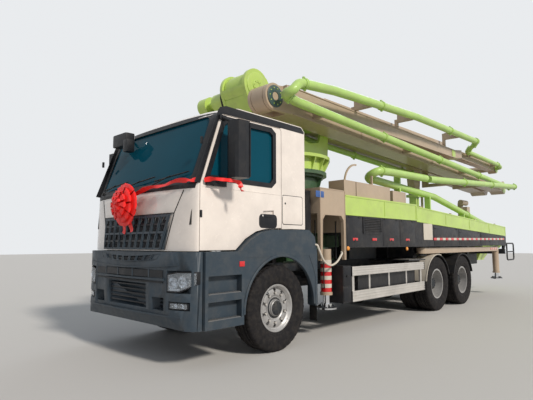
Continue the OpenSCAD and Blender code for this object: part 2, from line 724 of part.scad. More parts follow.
module hopper() color("#a3c644") placed() {
  // Slanted side walls, with the outlet to the delivery line
  difference() {
    union() {
      intersection() {
        hopper_length(0);
        hopper_width(0);
      }
      bar_y([-9950, 1250], 90, 520, 650);
    }
    translate([0, 0, -1]) hopper_width(sheet_t);
    hopper_width(sheet_t);
    translate([0, 0, 1]) hopper_width(sheet_t);
  }
  // Slanted front and rear walls between them, with brackets on the front one
  difference() {
    union() {
      intersection() {
        hopper_length(0);
        hopper_width(sheet_t + seam);
      }
      for (y = [-600, 560]) slab(y, y + 40) polygon([
        [flange_x[1], 1100], [flange_x[1], flange_z - seam], [mouth_x[1] + seam, flange_z - seam],
        [mouth_x[1] + seam, shoulder_z - seam], [mouth_x[1] - sheet_t / 2, shoulder_z - seam],
        [front_wall_x(1330) - sheet_t / 2, 1330], [front_wall_x(1330) + seam, 1330],
        [front_wall_x(1100) + seam, 1100]
      ]);
    }
    translate([0, 0, -1]) hopper_length(sheet_t);
    hopper_length(sheet_t);
    translate([0, 0, 1]) hopper_length(sheet_t);
  }
  // Floor
  block([foot_x[0], -foot_half, foot_z], [foot_x[1], foot_half, floor_top - seam]);
  // Upright band and flange round the mouth: two long sides, then the ends between them
  both() {
    block([mouth_x[0], mouth_half - sheet_t, shoulder_z], [mouth_x[1], mouth_half, rim_z]);
    block([flange_x[0], mouth_half - sheet_t, flange_z], [flange_x[1], flange_half, rim_z]);
  }
  end_half = mouth_half - sheet_t - seam;
  block([mouth_x[0], -end_half, shoulder_z], [mouth_x[0] + sheet_t, end_half, rim_z]);
  block([flange_x[0], -end_half, flange_z], [mouth_x[0] + sheet_t, end_half, rim_z]);
  block([mouth_x[1] - sheet_t, -end_half, shoulder_z], [mouth_x[1], end_half, rim_z]);
  block([mouth_x[1] - sheet_t, -end_half, flange_z], [flange_x[1], end_half, rim_z]);
  // Lugs for the grate's shaft
  both() difference() {
    slab(706, 726) {
      disc(grate_hinge, 34);
      polygon([[-9543, 1630], [-9485, 1630], [-9492, 1700], [-9538, 1700]]);
    }
    bar_y(grate_hinge, 22 + tight, 700, 730);
  }
}

module hopper_grate() color("#3a3d3a") placed() {
  difference() {
    block([-10630, -770, 1650], [-9560, 770, 1690]);
    for (i = [0 : 9]) block([-10590, -736 + i * 148, 1640], [-9600, -736 + i * 148 + 132, 1700]);
  }
  bar_y(grate_hinge, 22, -735, 735);
  for (y = [-600, 0, 600]) block([-9565, y - 40, 1682], [-9525, y + 40, 1710]);
}

module pump_unit() color("#5d6164") placed() {
  for (y = [-190, 190]) {
    bar([-6700, y, 1420], [-9440, y, 1420], 125);
    bar([-6300, y, 1420], [-4300, y, 1420], 75);
  }
  block([-6700, -360, 1230], [-6300, 360, 1640]);
  block([-4320, -330, 1280], [-4200, 330, 1560]);
  block([-9470, -400, 1250], [-9400, 400, 1590]);
  for (x = [-4600, -7200, -8900]) block([x - 60, -400, rail_top], [x + 60, 400, 1350]);
  block([-6600, -350, rail_top], [-6400, 350, 1240]);
  block([-4000, -350, rail_top], [-2900, 350, 1700]);
}

// The line on the deck, from the hopper to the knee ahead of the boom's rest
module deck_pipe() color("#8fb53a") placed() {
  pipe_line([[-9950, 650, 1250], [-9950, 950, 1250], [-9950, 950, 1630], [-9300, 950, 1752], [-5390, 950, 2370],
    [-3000, 950, 2480], [-2560, 950, 2500], [-2560, 1170, 2600], [-3000, 1170, 2625], [-4500, 1170, 2668]],
    pipe_r, [180, 180, 400, 400, 400, 110, 110, 400]);
  for (x = [-3700, -5050, -7000]) on_deck(x - 25, x + 25, 890, 1010, 1952 + 0.158 * (x + 8050));
}

/* BOOM */

lift_base = [-2120, 3300];
lift_eye = [-5000, 3350];
lift_barrel_r = 65;
lift_rod_r = 40;
cheek_left = [arm1_out + run_gap, arm1_out + run_gap + cheek];
cheek_right = [arm1_in - run_gap - cheek, arm1_in - run_gap];

module disc(at, r) translate(at) circle(r = r);

module cheek_outline() {
  polygon([
    [-2200, 2790], [-760, 2790], [-690, 3060], [-300, 3290], [-180, 3600], [-400, 3990], [-620, 3900],
    [-900, 3500], [-1250, 3150], [-1700, 3060], [-1950, 3110], [-2040, 3340], [-2215, 3340], [-2225, 3200]
  ]);
  disc(p1, 260);
  disc(lift_base, 105);
}

module turret() color("#a3c644") placed() {
  translate([-slew_x, 0, ring_top + 5]) cylinder(r = ring_r - 40, h = 195);
  translate([-slew_x, 0, 2740]) cylinder(r = 760, h = 52);
  for (y = [cheek_left, cheek_right]) slab(y[0], y[1]) cheek_outline();
  // Body between the cheeks
  slab(cheek_right[1], cheek_left[0]) polygon([
    [-2150, 2790], [-780, 2790], [-710, 3060], [-1250, 3100], [-1700, 3030], [-2000, 3060]
  ]);
  slab(cheek_right[1], cheek_left[0]) polygon([
    [-710, 3050], [-310, 3290], [-200, 3560], [-225, 3570], [-335, 3315], [-720, 3085]
  ]);
  // Drum round the lower front of the first arm's head, which swings up past it
  difference() {
    bar_y(p1, 258, cheek_right[1], cheek_left[0]);
    bar_y(p1, 238, cheek_right[1] - 1, cheek_left[0] + 1);
    block([p1[0] - 300, -300, 3400], [p1[0] + 60, 500, 4100]);
    block([p1[0] - 300, -300, p1[1] - 30], [p1[0] + 300, 500, 4100]);
  }
  bar_y(p1, pin_r, cheek_right[0] - 15, cheek_left[1] + 15);
  bar_y(p1, 95, cheek_left[1], cheek_left[1] + 12);
  bar_y(p1, 95, cheek_right[0] - 12, cheek_right[0]);
  // Pins of the lift cylinders
  bar_y(lift_base, 45, cheek_left[1], arm1_y + 295 + 70);
  bar_y(lift_base, 45, arm1_y - 295 - 70, cheek_right[0]);
}

module lift_barrels() color("#a3c644") placed() for (s = [-1, 1]) translate([0, arm1_y + s * 295, 0]) {
  d = lift_eye - lift_base;
  u = d / norm(d);
  along = function(t) [lift_base[0] + u[0] * t, 0, lift_base[1] + u[1] * t];
  difference() {
    union() {
      bar(along(150), along(2580), lift_barrel_r);
      if (s > 0) {
        bar_y(lift_base, 85, -15, 65);
        slab(-15, 65) polygon([[-2120, 3225], [-2320, 3250], [-2320, 3355], [-2120, 3380]]);
      } else {
        bar_y(lift_base, 85, -65, 15);
        slab(-65, 15) polygon([[-2120, 3225], [-2320, 3250], [-2320, 3355], [-2120, 3380]]);
      }
    }
    bar_y(lift_base, 45 + tight, -100, 100);
    bar(along(190), along(2600), lift_rod_r + tight);
  }
}

module lift_rods() color("#c4c8ca") placed() for (s = [-1, 1]) translate([0, arm1_y + s * 295, 0]) {
  d = lift_eye - lift_base;
  u = d / norm(d);
  along = function(t) [lift_base[0] + u[0] * t, 0, lift_base[1] + u[1] * t];
  difference() {
    union() {
      bar(along(240), along(norm(d) - 40), lift_rod_r);
      bar_y(lift_eye, 78, -60, 60);
    }
    bar_y(lift_eye, 45, -100, 100);
  }
}

// Saddle that holds a pipe, from the arm's side at y0 to the pipe's middle
module saddle(x, a, b, r, y0) {
  t = (x - a[0]) / (b[0] - a[0]);
  y = a[1] + t * (b[1] - a[1]);
  z = a[2] + t * (b[2] - a[2]);
  difference() {
    block([x - 30, min(y0, y), z - r - 12], [x + 30, max(y0, y), z + r + 12]);
    bar(a, b, r + 0.1);
  }
}

// The pipes of two arms meet on their pin's own line, half way between the two pipes
pipe_2_y = 1020;
pipe_3_y = 1170;
swivel_y = (pipe_2_y + pipe_3_y) / 2;
swivel_bend = (pipe_3_y - pipe_2_y) / 2 - 0.5;
low_pipe = [[-10900, 1170, 3080], [-10650, 1170, 3062], [-4950, 1170, 2686], [-4640, 1170, 2665]];
module arm_1() color("#a3c644") placed() {
  difference() {
    union() {
      slab(arm1_in, arm1_out) {
        disc(p1, head1_r);
        disc(p2, head2_r);
        polygon([
          [-400, 3965], [-560, 3930], [-1100, 3780], [-10900, 3280], [-10900, 2880], [-10700, 2965],
          [-6000, 3140], [-2600, 3260], [-1000, 3340], [-620, 3540], [-400, 3515]
        ]);
      }
      for (y = [[arm1_out, arm1_out + 20], [arm1_in - 20, arm1_in]]) bar_y(lift_eye, 95, y[0], y[1]);
      // Foot for the boom's rest
      slab(20, 200) polygon([[-6420, 3150], [-5980, 3160], [-6090, 2552], [-6310, 2552]]);
      // Carriers of the pipe on the far side of the second arm
      for (x = [-6600, -8600]) {
        block([x - 25, 150, low_z(x) - 40], [x + 25, 310, 3160]);
        difference() {
          block([x - 25, 150, low_z(x) - 40], [x + 25, 1170, low_z(x) + 40]);
          bar(low_pipe[1], low_pipe[3], pipe_r + 0.1);
        }
      }
    }
    bar_y(p1, pin_r + tight, arm1_in - 1, arm1_out + 1);
  }
  bar_y(p2, pin_r, arm1_out - 10, arm2_out + 15);
}
function low_z(x) = 3062 + (x + 10650) * (2686 - 3062) / 5700;

module pipe_1() color("#8fb53a") placed() {
  pipe_line([[-1300, arm1_y, 3322], [-1300, arm1_y, 3240], [-5800, arm1_y, 3060], [-5800, 900, 2780],
    [-5800, 1170, low_z(-5800)]], pipe_r * 0.83, [pipe_r * 0.83 + 4, 150, 400]);
  pipe_line([low_pipe[3], low_pipe[1], low_pipe[0], [p2[0], swivel_y + 0.5, p2[1]]], pipe_r, [400, swivel_bend]);
}

high_pipe_2 = [[-10650, pipe_2_y, 3062], [-560, pipe_2_y, 3388]];
module arm_2() color("#a8907f") placed() {
  difference() {
    union() {
      slab(arm2_in, arm2_out) {
        disc(p2, head2_r);
        polygon([[-600, 3258], [-600, 3410], [-10750, 3215], [-10900, 3280], [-10900, 2880], [-10700, 2952]]);
      }
      for (y = [arm2_in, arm2_out - 60]) slab(y, y + 60) {
        disc(p3, head3_r);
        polygon([[-640, 3256], [-640, 3405], [-520, 3430], [-420, 3590], [-300, 3635], [-300, 3245]]);
      }
      for (x = [-1200, -4200, -7200, -9900]) saddle(x, high_pipe_2[0], high_pipe_2[1], pipe_r, arm2_out);
    }
    bar_y(p2, pin_r + tight, arm2_in - 1, arm2_out + 1);
  }
  bar_y(p3, pin_r, arm2_in + 10, arm2_out + 10);
}

module pipe_2() color("#8fb53a") placed()
  pipe_line([[p2[0], swivel_y - 0.5, p2[1]], [p2[0], pipe_2_y, p2[1]], high_pipe_2[0], high_pipe_2[1],
    [p3[0], pipe_2_y, p3[1]], [p3[0], swivel_y - 0.5, p3[1]]], pipe_r, [swivel_bend, 400, 400, swivel_bend]);

high_pipe_3 = [[-460, 1170, 3600], [-1320, 1170, 3700], [-4200, 1170, 3880], [-7570, 1170, 3950]];
slim_pipe_3 = [[-7900, 820, 3789], [-10600, 820, 3760]];
module arm_3() color("#a8907f") placed() {
  difference() {
    union() {
      slab(arm2_in, arm2_out) polygon([[-560, 3455], [-560, 3680], [-7000, 3680], [-7000, 3480]]);
      slab(arm2_in + 70, arm2_out - 70) {
        disc(p3, head3_r);
        polygon([[-600, 3455], [-600, 3680], [-300, 3635], [-300, 3245]]);
      }
      slab(arm2_in - 20, arm2_out) polygon([[-6950, 3479], [-6950, 3680], [-7450, 3743], [-7450, 3543]]);
      slab(arm2_in - 20, arm2_in + 190) polygon([[-7440, 3541], [-7440, 3741], [-7900, 3800], [-7900, 3600]]);
      slab(arm2_in - 20, arm2_in + 190) {
        polygon([[-7890, 3600], [-7890, 3800], [-10650, 3800], [-10650, 3600]]);
        disc(p4, head4_r);
        polygon([[-10640, 3600], [-10640, 3800], [-10800, 3860], [-10800, 3540]]);
      }
      saddle(-2400, high_pipe_3[1], high_pipe_3[2], pipe_r, arm2_out);
      saddle(-4000, high_pipe_3[1], high_pipe_3[2], pipe_r, arm2_out);
      saddle(-6400, high_pipe_3[2], high_pipe_3[3], pipe_r, arm2_out);
      for (x = [-8300, -10300]) saddle(x, slim_pipe_3[0], slim_pipe_3[1], slim_pipe_r, arm2_in + 190);
      // Uprights under the saddles that stand above the beam
      for (x = [-2400, -4000, -6400]) block([x - 30, arm2_out - 60, 3670], [x + 30, arm2_out + 1, 3690 + (-x - 1320) * 0.06]);
      bar_y(p4, 95, run_gap - arm4_in, arm2_in);
    }
    bar_y(p3, pin_r + tight, arm2_in, arm2_out);
  }
  bar_y(p4, pin_r, -arm4_in - arm4_w, run_gap - arm4_in + 1);
}

module pipe_3() color("#8fb53a") placed() {
  pipe_line(concat([[p3[0], swivel_y + 0.5, p3[1]], [p3[0], pipe_3_y, p3[1]]], high_pipe_3), pipe_r,
    [swivel_bend, 230, 400, 400]);
  bar([-7530, 1170, 3949], [-7610, 1170, 3951], pipe_r + 18);
  pipe_line(concat([[-7590, 1170, 3950], [-7700, 1170, 3950]], slim_pipe_3,
    [[p4[0], 820, p4[1]], [p4[0], arm2_in + 200, p4[1]]]), slim_pipe_r, [150, 150, 400, slim_pipe_r + 7]);
  bar_y(p4, 90, arm2_in + 190, arm2_in + 215);
}

module arm_4() color("#a3c644") placed() {
  difference() {
    union() {
      slab(-arm4_in - arm4_w, -arm4_in) {
        disc(p4, head4_r);
        disc(p5, head5_r);
        polygon([[-10800, 3540], [-10800, 3860], [-10500, 3780], [-420, 3780], [-420, 3520], [-900, 3580], [-10400, 3560]]);
      }
      for (x = [-1800, -5600, -9600])
        saddle(x, [-10500, pipe_4_y, 3680], [-700, pipe_4_y, 3680], slim_pipe_r, -arm4_in - arm4_w);
    }
    bar_y(p4, pin_r + tight, -arm4_in - arm4_w - 1, -arm4_in + 1);
  }
  bar_y(p5, pin_r, -arm5_in - arm5_w, -arm4_in - arm4_w + 10);
}

pipe_4_y = -arm4_in - arm4_w - 80;
module pipe_4() color("#8fb53a") placed() {
  difference() {
    pipe_line([[p4[0], -arm4_in - arm4_w - 15, p4[1]], [p4[0], pipe_4_y, p4[1]], [-10500, pipe_4_y, 3680],
      [-700, pipe_4_y, 3680], [p5[0], pipe_4_y, p5[1]]], slim_pipe_r, [slim_pipe_r + 4, 400, 400]);
    bar_y(p5, pin_r + 0.2, pipe_4_y - 100, pipe_4_y + 100);
    block([p5[0], pipe_4_y - 100, p5[1] - 200], [p5[0] + 200, pipe_4_y + 100, p5[1] + 200]);
  }
  difference() {
    bar_y(p4, 92, -arm4_in - arm4_w - 22, -arm4_in - arm4_w);
    bar_y(p4, pin_r + 4, -arm4_in - arm4_w - 10, -arm4_in - arm4_w + 1);
  }
}

pipe_5_y = -arm5_in - arm5_w - 90;
module arm_5() color("#a3c644") placed() {
  difference() {
    union() {
      slab(-arm5_in - arm5_w, -arm5_in) {
        disc(p5, head5_r);
        polygon([[-420, 3510], [-420, 3810], [-700, 3770], [-10200, 3730], [-10200, 3640], [-700, 3560]]);
      }
      for (x = [-1500, -4500, -7500, -9900])
        saddle(x, [-10250, pipe_5_y, 3690], [-700, pipe_5_y, 3690], slim_pipe_r, -arm5_in - arm5_w);
    }
    bar_y(p5, pin_r + tight, -arm5_in - arm5_w - 1, -arm5_in + 1);
  }
}

module pipe_5() color("#8fb53a") placed() {
  difference() {
    pipe_line([[p5[0], -arm5_in - arm5_w - 25, p5[1]], [p5[0], pipe_5_y, p5[1]], [-700, pipe_5_y, 3690],
      [-10350, pipe_5_y, 3690]], slim_pipe_r, [slim_pipe_r + 5.5, 400]);
    bar([-10200, pipe_5_y, 3690], [-10500, pipe_5_y, 3690], slim_pipe_r - 8);
  }
  // Collar that the end hose is clamped to
  difference() {
    bar([-10320, pipe_5_y, 3690], [-10350, pipe_5_y, 3690], slim_pipe_r + 8);
    bar([-10200, pipe_5_y, 3690], [-10500, pipe_5_y, 3690], slim_pipe_r - 8);
  }
  difference() {
    bar_y(p5, 85, -arm5_in - arm5_w - 28, -arm5_in - arm5_w);
    bar_y(p5, pin_r + 4, -arm5_in - arm5_w - 12, -arm5_in - arm5_w + 1);
  }
}

/* OUTRIGGERS */

module leg_front(side) color("#a8907f") placed() along_leg(side) {
  z = front_leg_z(side);
  difference() {
    union() {
      block([-1900, -front_leg_w / 2, z], [-40, front_leg_w / 2, z + 160]);
      translate([0, 0, 600]) cylinder(r = 80, h = z + 160 - 600);
      translate([0, 0, 600]) cylinder(r = 92, h = 40);
    }
    translate([0, 0, 590]) cylinder(r = 55 + tight, h = z + 140 - 590);
  }
}
module leg_front_left() leg_front(1);
module leg_front_right() leg_front(-1);

module jack(at, top) color("#c4c8ca") placed() translate([at[0], at[1], 0]) {
  translate([0, 0, 440]) cylinder(r = 55, h = top - 440);
  translate([0, 0, 400]) cylinder(r = 150, h = 22);
  translate([0, 0, 420]) cylinder(r = 85, h = 60);
}
module jack_front_left() jack(front_jack, front_leg_z(1) + 130);
module jack_front_right() jack([front_jack[0], -front_jack[1]], front_leg_z(1) + 130);

module leg_rear(side) color("#a8907f") placed() mirror([0, side < 0 ? 1 : 0, 0]) difference() {
  union() {
    translate([leg_hinge[0], leg_hinge[1], leg_lo]) cylinder(r = 95, h = leg_hi - leg_lo);
    block([rear_jack[0], rear_jack[1] - 85, leg_lo], [leg_hinge[0], rear_jack[1] + 85, leg_hi]);
    translate([rear_jack[0], rear_jack[1], 560]) cylinder(r = 80, h = leg_hi + 10 - 560);
    translate([rear_jack[0], rear_jack[1], 560]) cylinder(r = 92, h = 40);
  }
  translate([leg_hinge[0], leg_hinge[1], leg_lo - 1]) cylinder(r = 45 + tight, h = 200);
  translate([rear_jack[0], rear_jack[1], 550]) cylinder(r = 55 + tight, h = leg_hi - 560);
}
module leg_rear_left() leg_rear(1);
module leg_rear_right() leg_rear(-1);
module jack_rear_left() jack(rear_jack, leg_hi - 20);
module jack_rear_right() jack([rear_jack[0], -rear_jack[1]], leg_hi - 20);

ladder_frame();
tail_rails();
engine_block();
front_axle();
rear_axles();
cab_shell();
cab_glass();
cab_interior();
bumper();
grille();
lamps();
cab_fenders();
door_left();
door_right();
door_glass_left();
door_glass_right();
mirror_left();
mirror_right();
knuckle_left();
knuckle_right();
wheel_front_left();
wheel_front_right();
wheels_mid_left();
wheels_mid_right();
wheels_rear_left();
wheels_rear_right();
pedestal();
upper_panels();
lower_panels();
deck_boxes();
guard_rails();
chassis_boxes();
hopper();
hopper_grate();
pump_unit();
deck_pipe();
turret();
arm_1();
arm_2();
arm_3();
arm_4();
arm_5();
pipe_1();
pipe_2();
pipe_3();
pipe_4();
pipe_5();
lift_barrels();
lift_rods();
leg_front_left();
leg_front_right();
leg_rear_left();
leg_rear_right();
jack_front_left();
jack_front_right();
jack_rear_left();
jack_rear_right();
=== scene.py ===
"""Looks of the concrete pump truck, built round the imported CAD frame.

Places are written in millimetres counted from the front axle along X, with Y to the left and Z up,
and turned into the frame's metres when a piece is finished.
"""
import json
import math
import random

import bmesh
import bpy
from mathutils import Matrix, Vector


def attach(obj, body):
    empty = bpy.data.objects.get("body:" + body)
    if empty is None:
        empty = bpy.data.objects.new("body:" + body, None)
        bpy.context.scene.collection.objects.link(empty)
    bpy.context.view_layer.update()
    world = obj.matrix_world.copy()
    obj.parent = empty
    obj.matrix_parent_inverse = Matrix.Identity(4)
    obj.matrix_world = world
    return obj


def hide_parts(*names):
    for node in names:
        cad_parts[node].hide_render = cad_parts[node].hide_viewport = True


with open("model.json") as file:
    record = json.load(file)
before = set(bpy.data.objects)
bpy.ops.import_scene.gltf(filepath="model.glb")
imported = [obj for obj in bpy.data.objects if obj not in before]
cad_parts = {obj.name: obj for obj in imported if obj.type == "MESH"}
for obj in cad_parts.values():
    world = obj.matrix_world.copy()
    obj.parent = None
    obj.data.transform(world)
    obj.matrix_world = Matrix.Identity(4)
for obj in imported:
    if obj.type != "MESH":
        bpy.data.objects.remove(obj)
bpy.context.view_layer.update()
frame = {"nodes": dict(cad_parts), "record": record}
NODES = frame["nodes"]
# Millimetres: how far the frame's origin lies behind the front axle, and places that many pieces share
AXLE_X = 4820.0
SLEW_X = -1500
PANEL_Y = 1240
CAB_HALF = 1150.0
TYRE_R = 540.0
MID_AXLE_X, REAR_AXLE_X = -4800, -6170
FRONT_JACK, REAR_JACK = (-1190, 1050), (-8950, 1090)
SIDES = (("left", 1), ("right", -1))
# The boom's first four pins in X and Z, from the turret outwards
PINS = ((-400, 3740), (-10900, 3080), (-300, 3440), (-10800, 3700))
# Middle of the pin that carries both lift cylinders
LIFT_FOOT = (-2120, 0, 3300)
# Camera of the photograph: focal length and width in pixels, place in metres, yaw, pitch and roll in degrees
FOCAL, PHOTO_WIDTH, SENSOR = 447.9, 533, 36
CAMERA_AT = (9.109, 5.03, 1.35)
CAMERA_TURN = (-136.54, 5.58, -0.1)
TO_FRAME = Matrix.Scale(0.001, 4) @ Matrix.Translation((AXLE_X, 0, 0))


def added(name, data):
    """An object with the data given, placed in the scene."""
    o = bpy.data.objects.new(name, data)
    bpy.context.scene.collection.objects.link(o)
    return o


def make_camera():
    data = bpy.data.cameras.new("camera")
    data.lens = FOCAL / PHOTO_WIDTH * SENSOR
    data.sensor_width = SENSOR
    data.clip_end = 200
    cam = added("camera", data)
    yaw, pitch, roll = (math.radians(a) for a in CAMERA_TURN)
    d = Vector((math.cos(pitch) * math.cos(yaw), math.cos(pitch) * math.sin(yaw), math.sin(pitch)))
    cam.rotation_mode = "QUATERNION"
    cam.rotation_quaternion = d.to_track_quat("-Z", "Y") @ Matrix.Rotation(roll, 3, "Z").to_quaternion()
    cam.location = CAMERA_AT
    bpy.context.scene.camera = cam


make_camera()


# MATERIALS

def principled(name):
    m = bpy.data.materials.new(name)
    m.use_nodes = True
    return m, m.node_tree, m.node_tree.nodes["Principled BSDF"]


def noise(nt, scale, detail=4.0, rough=0.6):
    tc = nt.nodes.new("ShaderNodeTexCoord")
    n = nt.nodes.new("ShaderNodeTexNoise")
    n.inputs["Scale"].default_value = scale
    n.inputs["Detail"].default_value = detail
    n.inputs["Roughness"].default_value = rough
    nt.links.new(tc.outputs["Object"], n.inputs["Vector"])
    return n.outputs["Fac"]


def ramp(nt, fac, stops):
    r = nt.nodes.new("ShaderNodeValToRGB")
    e = r.color_ramp.elements
    while len(e) < len(stops):
        e.new(0.5)
    for el, (pos, col) in zip(e, stops):
        el.position = pos
        el.color = (*col, 1)
    nt.links.new(fac, r.inputs["Fac"])
    return r.outputs["Color"]


def mixed(nt, fac, a, b):
    m = nt.nodes.new("ShaderNodeMix")
    m.data_type = "RGBA"
    for i, v in ((6, a), (7, b)):
        if isinstance(v, tuple):
            m.inputs[i].default_value = (*v, 1)
        else:
            nt.links.new(v, m.inputs[i])
    nt.links.new(fac, m.inputs[0])
    return m.outputs[2]


def bump(nt, b, fac, strength, distance):
    n = nt.nodes.new("ShaderNodeBump")
    n.inputs["Strength"].default_value = strength
    n.inputs["Distance"].default_value = distance
    nt.links.new(fac, n.inputs["Height"])
    nt.links.new(n.outputs["Normal"], b.inputs["Normal"])


SLOT_OF = {}
LIME_RGB, TAUPE_RGB = (0.46, 0.62, 0.12), (0.44, 0.335, 0.235)


def surface(name, slot, base, rough, metal=0.0, coat=0.0, dust=0.12, dust_col=(0.30, 0.25, 0.19), scale=3.0,
            grain=120.0, grain_strength=0.05, gloss=0.5):
    """Painted, moulded or cast surface with colour drift, dust in patches and a fine grain."""
    m, nt, b = principled(name)
    low = tuple(c * 0.9 for c in base)
    high = tuple(min(1, c * 1.06) for c in base)
    drift = ramp(nt, noise(nt, scale), [(0.3, low), (0.7, high)])
    patches = ramp(nt, noise(nt, scale * 2.3, 8.0, 0.7), [(0.45, (0, 0, 0)), (0.75, (dust,) * 3)])
    nt.links.new(mixed(nt, patches, drift, dust_col), b.inputs["Base Color"])
    wear = ramp(nt, noise(nt, scale * 5), [(0.3, (rough * 0.85,) * 3), (0.75, (min(1, rough * 1.25),) * 3)])
    nt.links.new(wear, b.inputs["Roughness"])
    b.inputs["Metallic"].default_value = metal
    b.inputs["Coat Weight"].default_value = coat
    b.inputs["Coat Roughness"].default_value = 0.08
    b.inputs["Specular IOR Level"].default_value = gloss
    if grain_strength:
        bump(nt, b, noise(nt, grain, 2.0), grain_strength, 0.002)
    SLOT_OF[m] = slot
    return m


LIME = surface("lime paint", "lime_paint", LIME_RGB, 0.34, coat=0.3, dust=0.2)
PIPE = surface("pipe paint", "lime_paint", (0.42, 0.62, 0.15), 0.38, coat=0.2, dust=0.25)
TAUPE = surface("taupe paint", "taupe_paint", TAUPE_RGB, 0.42, coat=0.2, dust=0.15)
DARK = surface("dark frame paint", "dark_paint", (0.020, 0.023, 0.027), 0.5, dust=0.2, gloss=0.35)
BLACK = surface("black panel paint", "dark_paint", (0.015, 0.015, 0.017), 0.42, dust=0.1, gloss=0.3)
GREY = surface("engine grey", "engine_grey", (0.13, 0.135, 0.14), 0.55, dust=0.3)
WHITE = surface("cab white", "cab_white", (0.82, 0.735, 0.66), 0.24, coat=0.5, dust=0.05, grain_strength=0)
SLATE = surface("slate moulding", "slate_plastic", (0.034, 0.050, 0.066), 0.45, dust=0.12, grain=300,
                grain_strength=0.12, gloss=0.35)
PLASTIC = surface("black moulding", "black_plastic", (0.009, 0.010, 0.013), 0.42, dust=0.05, grain=300,
                  grain_strength=0.1, gloss=0.3)
INSIDE = surface("cab lining", "interior_plastic", (0.04, 0.038, 0.036), 0.7, dust=0.1, gloss=0.3)
GREEN = surface("ring green", "ring_green", (0.030, 0.085, 0.030), 0.42, coat=0.15, dust=0.25)
# Dark teal for the joint plates is painted shade: the colour the arms' paint takes on faces in shadow
SHADE_TEAL = surface("joint plate painted shade", "ring_green", (0.022, 0.060, 0.055), 0.45, coat=0.1, dust=0.2)
ALU = surface("bare aluminium", "bare_aluminium", (0.74, 0.70, 0.65), 0.4, metal=0.85, dust=0.15, grain=60)
CHROME = surface("cylinder rod", "rod_chrome", (0.75, 0.76, 0.78), 0.12, metal=1.0, dust=0.05,
                 grain_strength=0)
RUBBER = surface("tyre rubber", "tyre_black", (0.013, 0.012, 0.013), 0.8, dust=0.3,
                 dust_col=(0.09, 0.075, 0.06), scale=6, grain=200, grain_strength=0.15, gloss=0.2)
RIM = surface("rim silver", "bare_aluminium", (0.42, 0.41, 0.40), 0.38, metal=0.4, dust=0.35,
              dust_col=(0.2, 0.17, 0.14), scale=9)
HOSE = surface("hose rubber", "black_plastic", (0.008, 0.008, 0.009), 0.5, dust=0.1, scale=9, gloss=0.3)
RED = surface("red reflector", "lamp_clear", (0.62, 0.012, 0.014), 0.25, coat=0.5, dust=0.05)
AMBER = surface("amber lens", "lamp_clear", (0.85, 0.30, 0.02), 0.25, coat=0.6, dust=0.05)
CLOTH = surface("red satin", "lamp_clear", (0.95, 0.022, 0.018), 0.42, dust=0.02, scale=14, grain=500,
                grain_strength=0.2)
CREAM = surface("pale plate", "cab_white", (0.62, 0.56, 0.47), 0.5, dust=0.15)
BLUE = surface("blue plate", "cab_white", (0.03, 0.10, 0.32), 0.35, coat=0.3, dust=0.05)


def two_tone(name, split):
    """Taupe paint, and lime ahead of a place along X in metres."""
    m = surface(name, "lime_paint", TAUPE_RGB, 0.42, coat=0.2, dust=0.15)
    nt = m.node_tree
    base = nt.nodes["Principled BSDF"].inputs["Base Color"]
    taupe = base.links[0].from_socket
    place = nt.nodes.new("ShaderNodeSeparateXYZ")
    nt.links.new(nt.nodes.new("ShaderNodeTexCoord").outputs["Object"], place.inputs[0])
    ahead = nt.nodes.new("ShaderNodeMath")
    ahead.operation = "GREATER_THAN"
    ahead.inputs[1].default_value = split
    nt.links.new(place.outputs["X"], ahead.inputs[0])
    nt.links.new(mixed(nt, ahead.outputs[0], taupe, LIME_RGB), base)
    return m


def glass(name, tint, clear):
    m, nt, b = principled(name)
    tone = ramp(nt, noise(nt, 1.3), [(0.3, tuple(c * 0.85 for c in tint)), (0.7, tint)])
    nt.links.new(tone, b.inputs["Base Color"])
    b.inputs["Roughness"].default_value = 0.03
    b.inputs["Transmission Weight"].default_value = clear
    b.inputs["IOR"].default_value = 1.15
    b.inputs["Coat Weight"].default_value = 0.08
    b.inputs["Specular IOR Level"].default_value = 0.15
    b.inputs["Coat Roughness"].default_value = 0.02
    return m


GLASS = glass("tinted glass", (0.004, 0.075, 0.115), 0.08)
LENS = glass("lamp lens", (0.85, 0.9, 0.95), 0.85)
SLOT_OF[GLASS] = "glass_pane"
SLOT_OF[LENS] = "lamp_clear"

NODE_LOOKS = {
    "dark_paint": DARK, "engine_grey": GREY, "cab_white": WHITE, "glass_pane": GLASS,
    "interior_plastic": INSIDE, "slate_plastic": SLATE, "lamp_clear": LENS, "black_plastic": PLASTIC,
    "tyre_black": RUBBER, "ring_green": GREEN, "lime_paint": LIME, "taupe_paint": TAUPE,
    "bare_aluminium": ALU, "rod_chrome": CHROME,
}
OWN_LOOKS = {"lower_panels": BLACK, "chassis_boxes": BLACK, "arm_1": two_tone("first arm paint", 2.95)}
for pipe_node in ("deck_pipe", "pipe_1", "pipe_2", "pipe_3", "pipe_4", "pipe_5"):
    OWN_LOOKS[pipe_node] = PIPE


# HELPERS

def circle(count):
    """Angles of points evenly round a circle."""
    return [math.tau * i / count for i in range(count)]


def polar(r, t, h=0):
    return Vector((r * math.cos(t), r * math.sin(t), h))


def rect(u0, v0, u1, v1):
    return [(u0, v0), (u1, v0), (u1, v1), (u0, v1)]


def part_way(a, b, t):
    return a[0] + (b[0] - a[0]) * t, a[1] + (b[1] - a[1]) * t


def along_line(a, b, x):
    """Second place at x on the line from a to b."""
    return a[1] + (b[1] - a[1]) * (x - a[0]) / (b[0] - a[0])


def shade(o, angle=35):
    for p in o.data.polygons:
        p.use_smooth = True
    o.data.set_sharp_from_angle(angle=math.radians(angle))


def dress(o, *materials):
    o.data.materials.clear()
    for m in materials:
        o.data.materials.append(m)


def mesh_object(name, bm, materials, angle):
    """Turns an edited mesh into an object with its materials."""
    me = bpy.data.meshes.new(name)
    bm.to_mesh(me)
    bm.free()
    o = added(name, me)
    for m in materials:
        me.materials.append(m)
    shade(o, angle)
    return o


# Points closer than this, in millimetres, are made one
MERGE = 0.02
# Edges with a greater angle between their faces, in radians, are bevelled
SHARP = 0.5


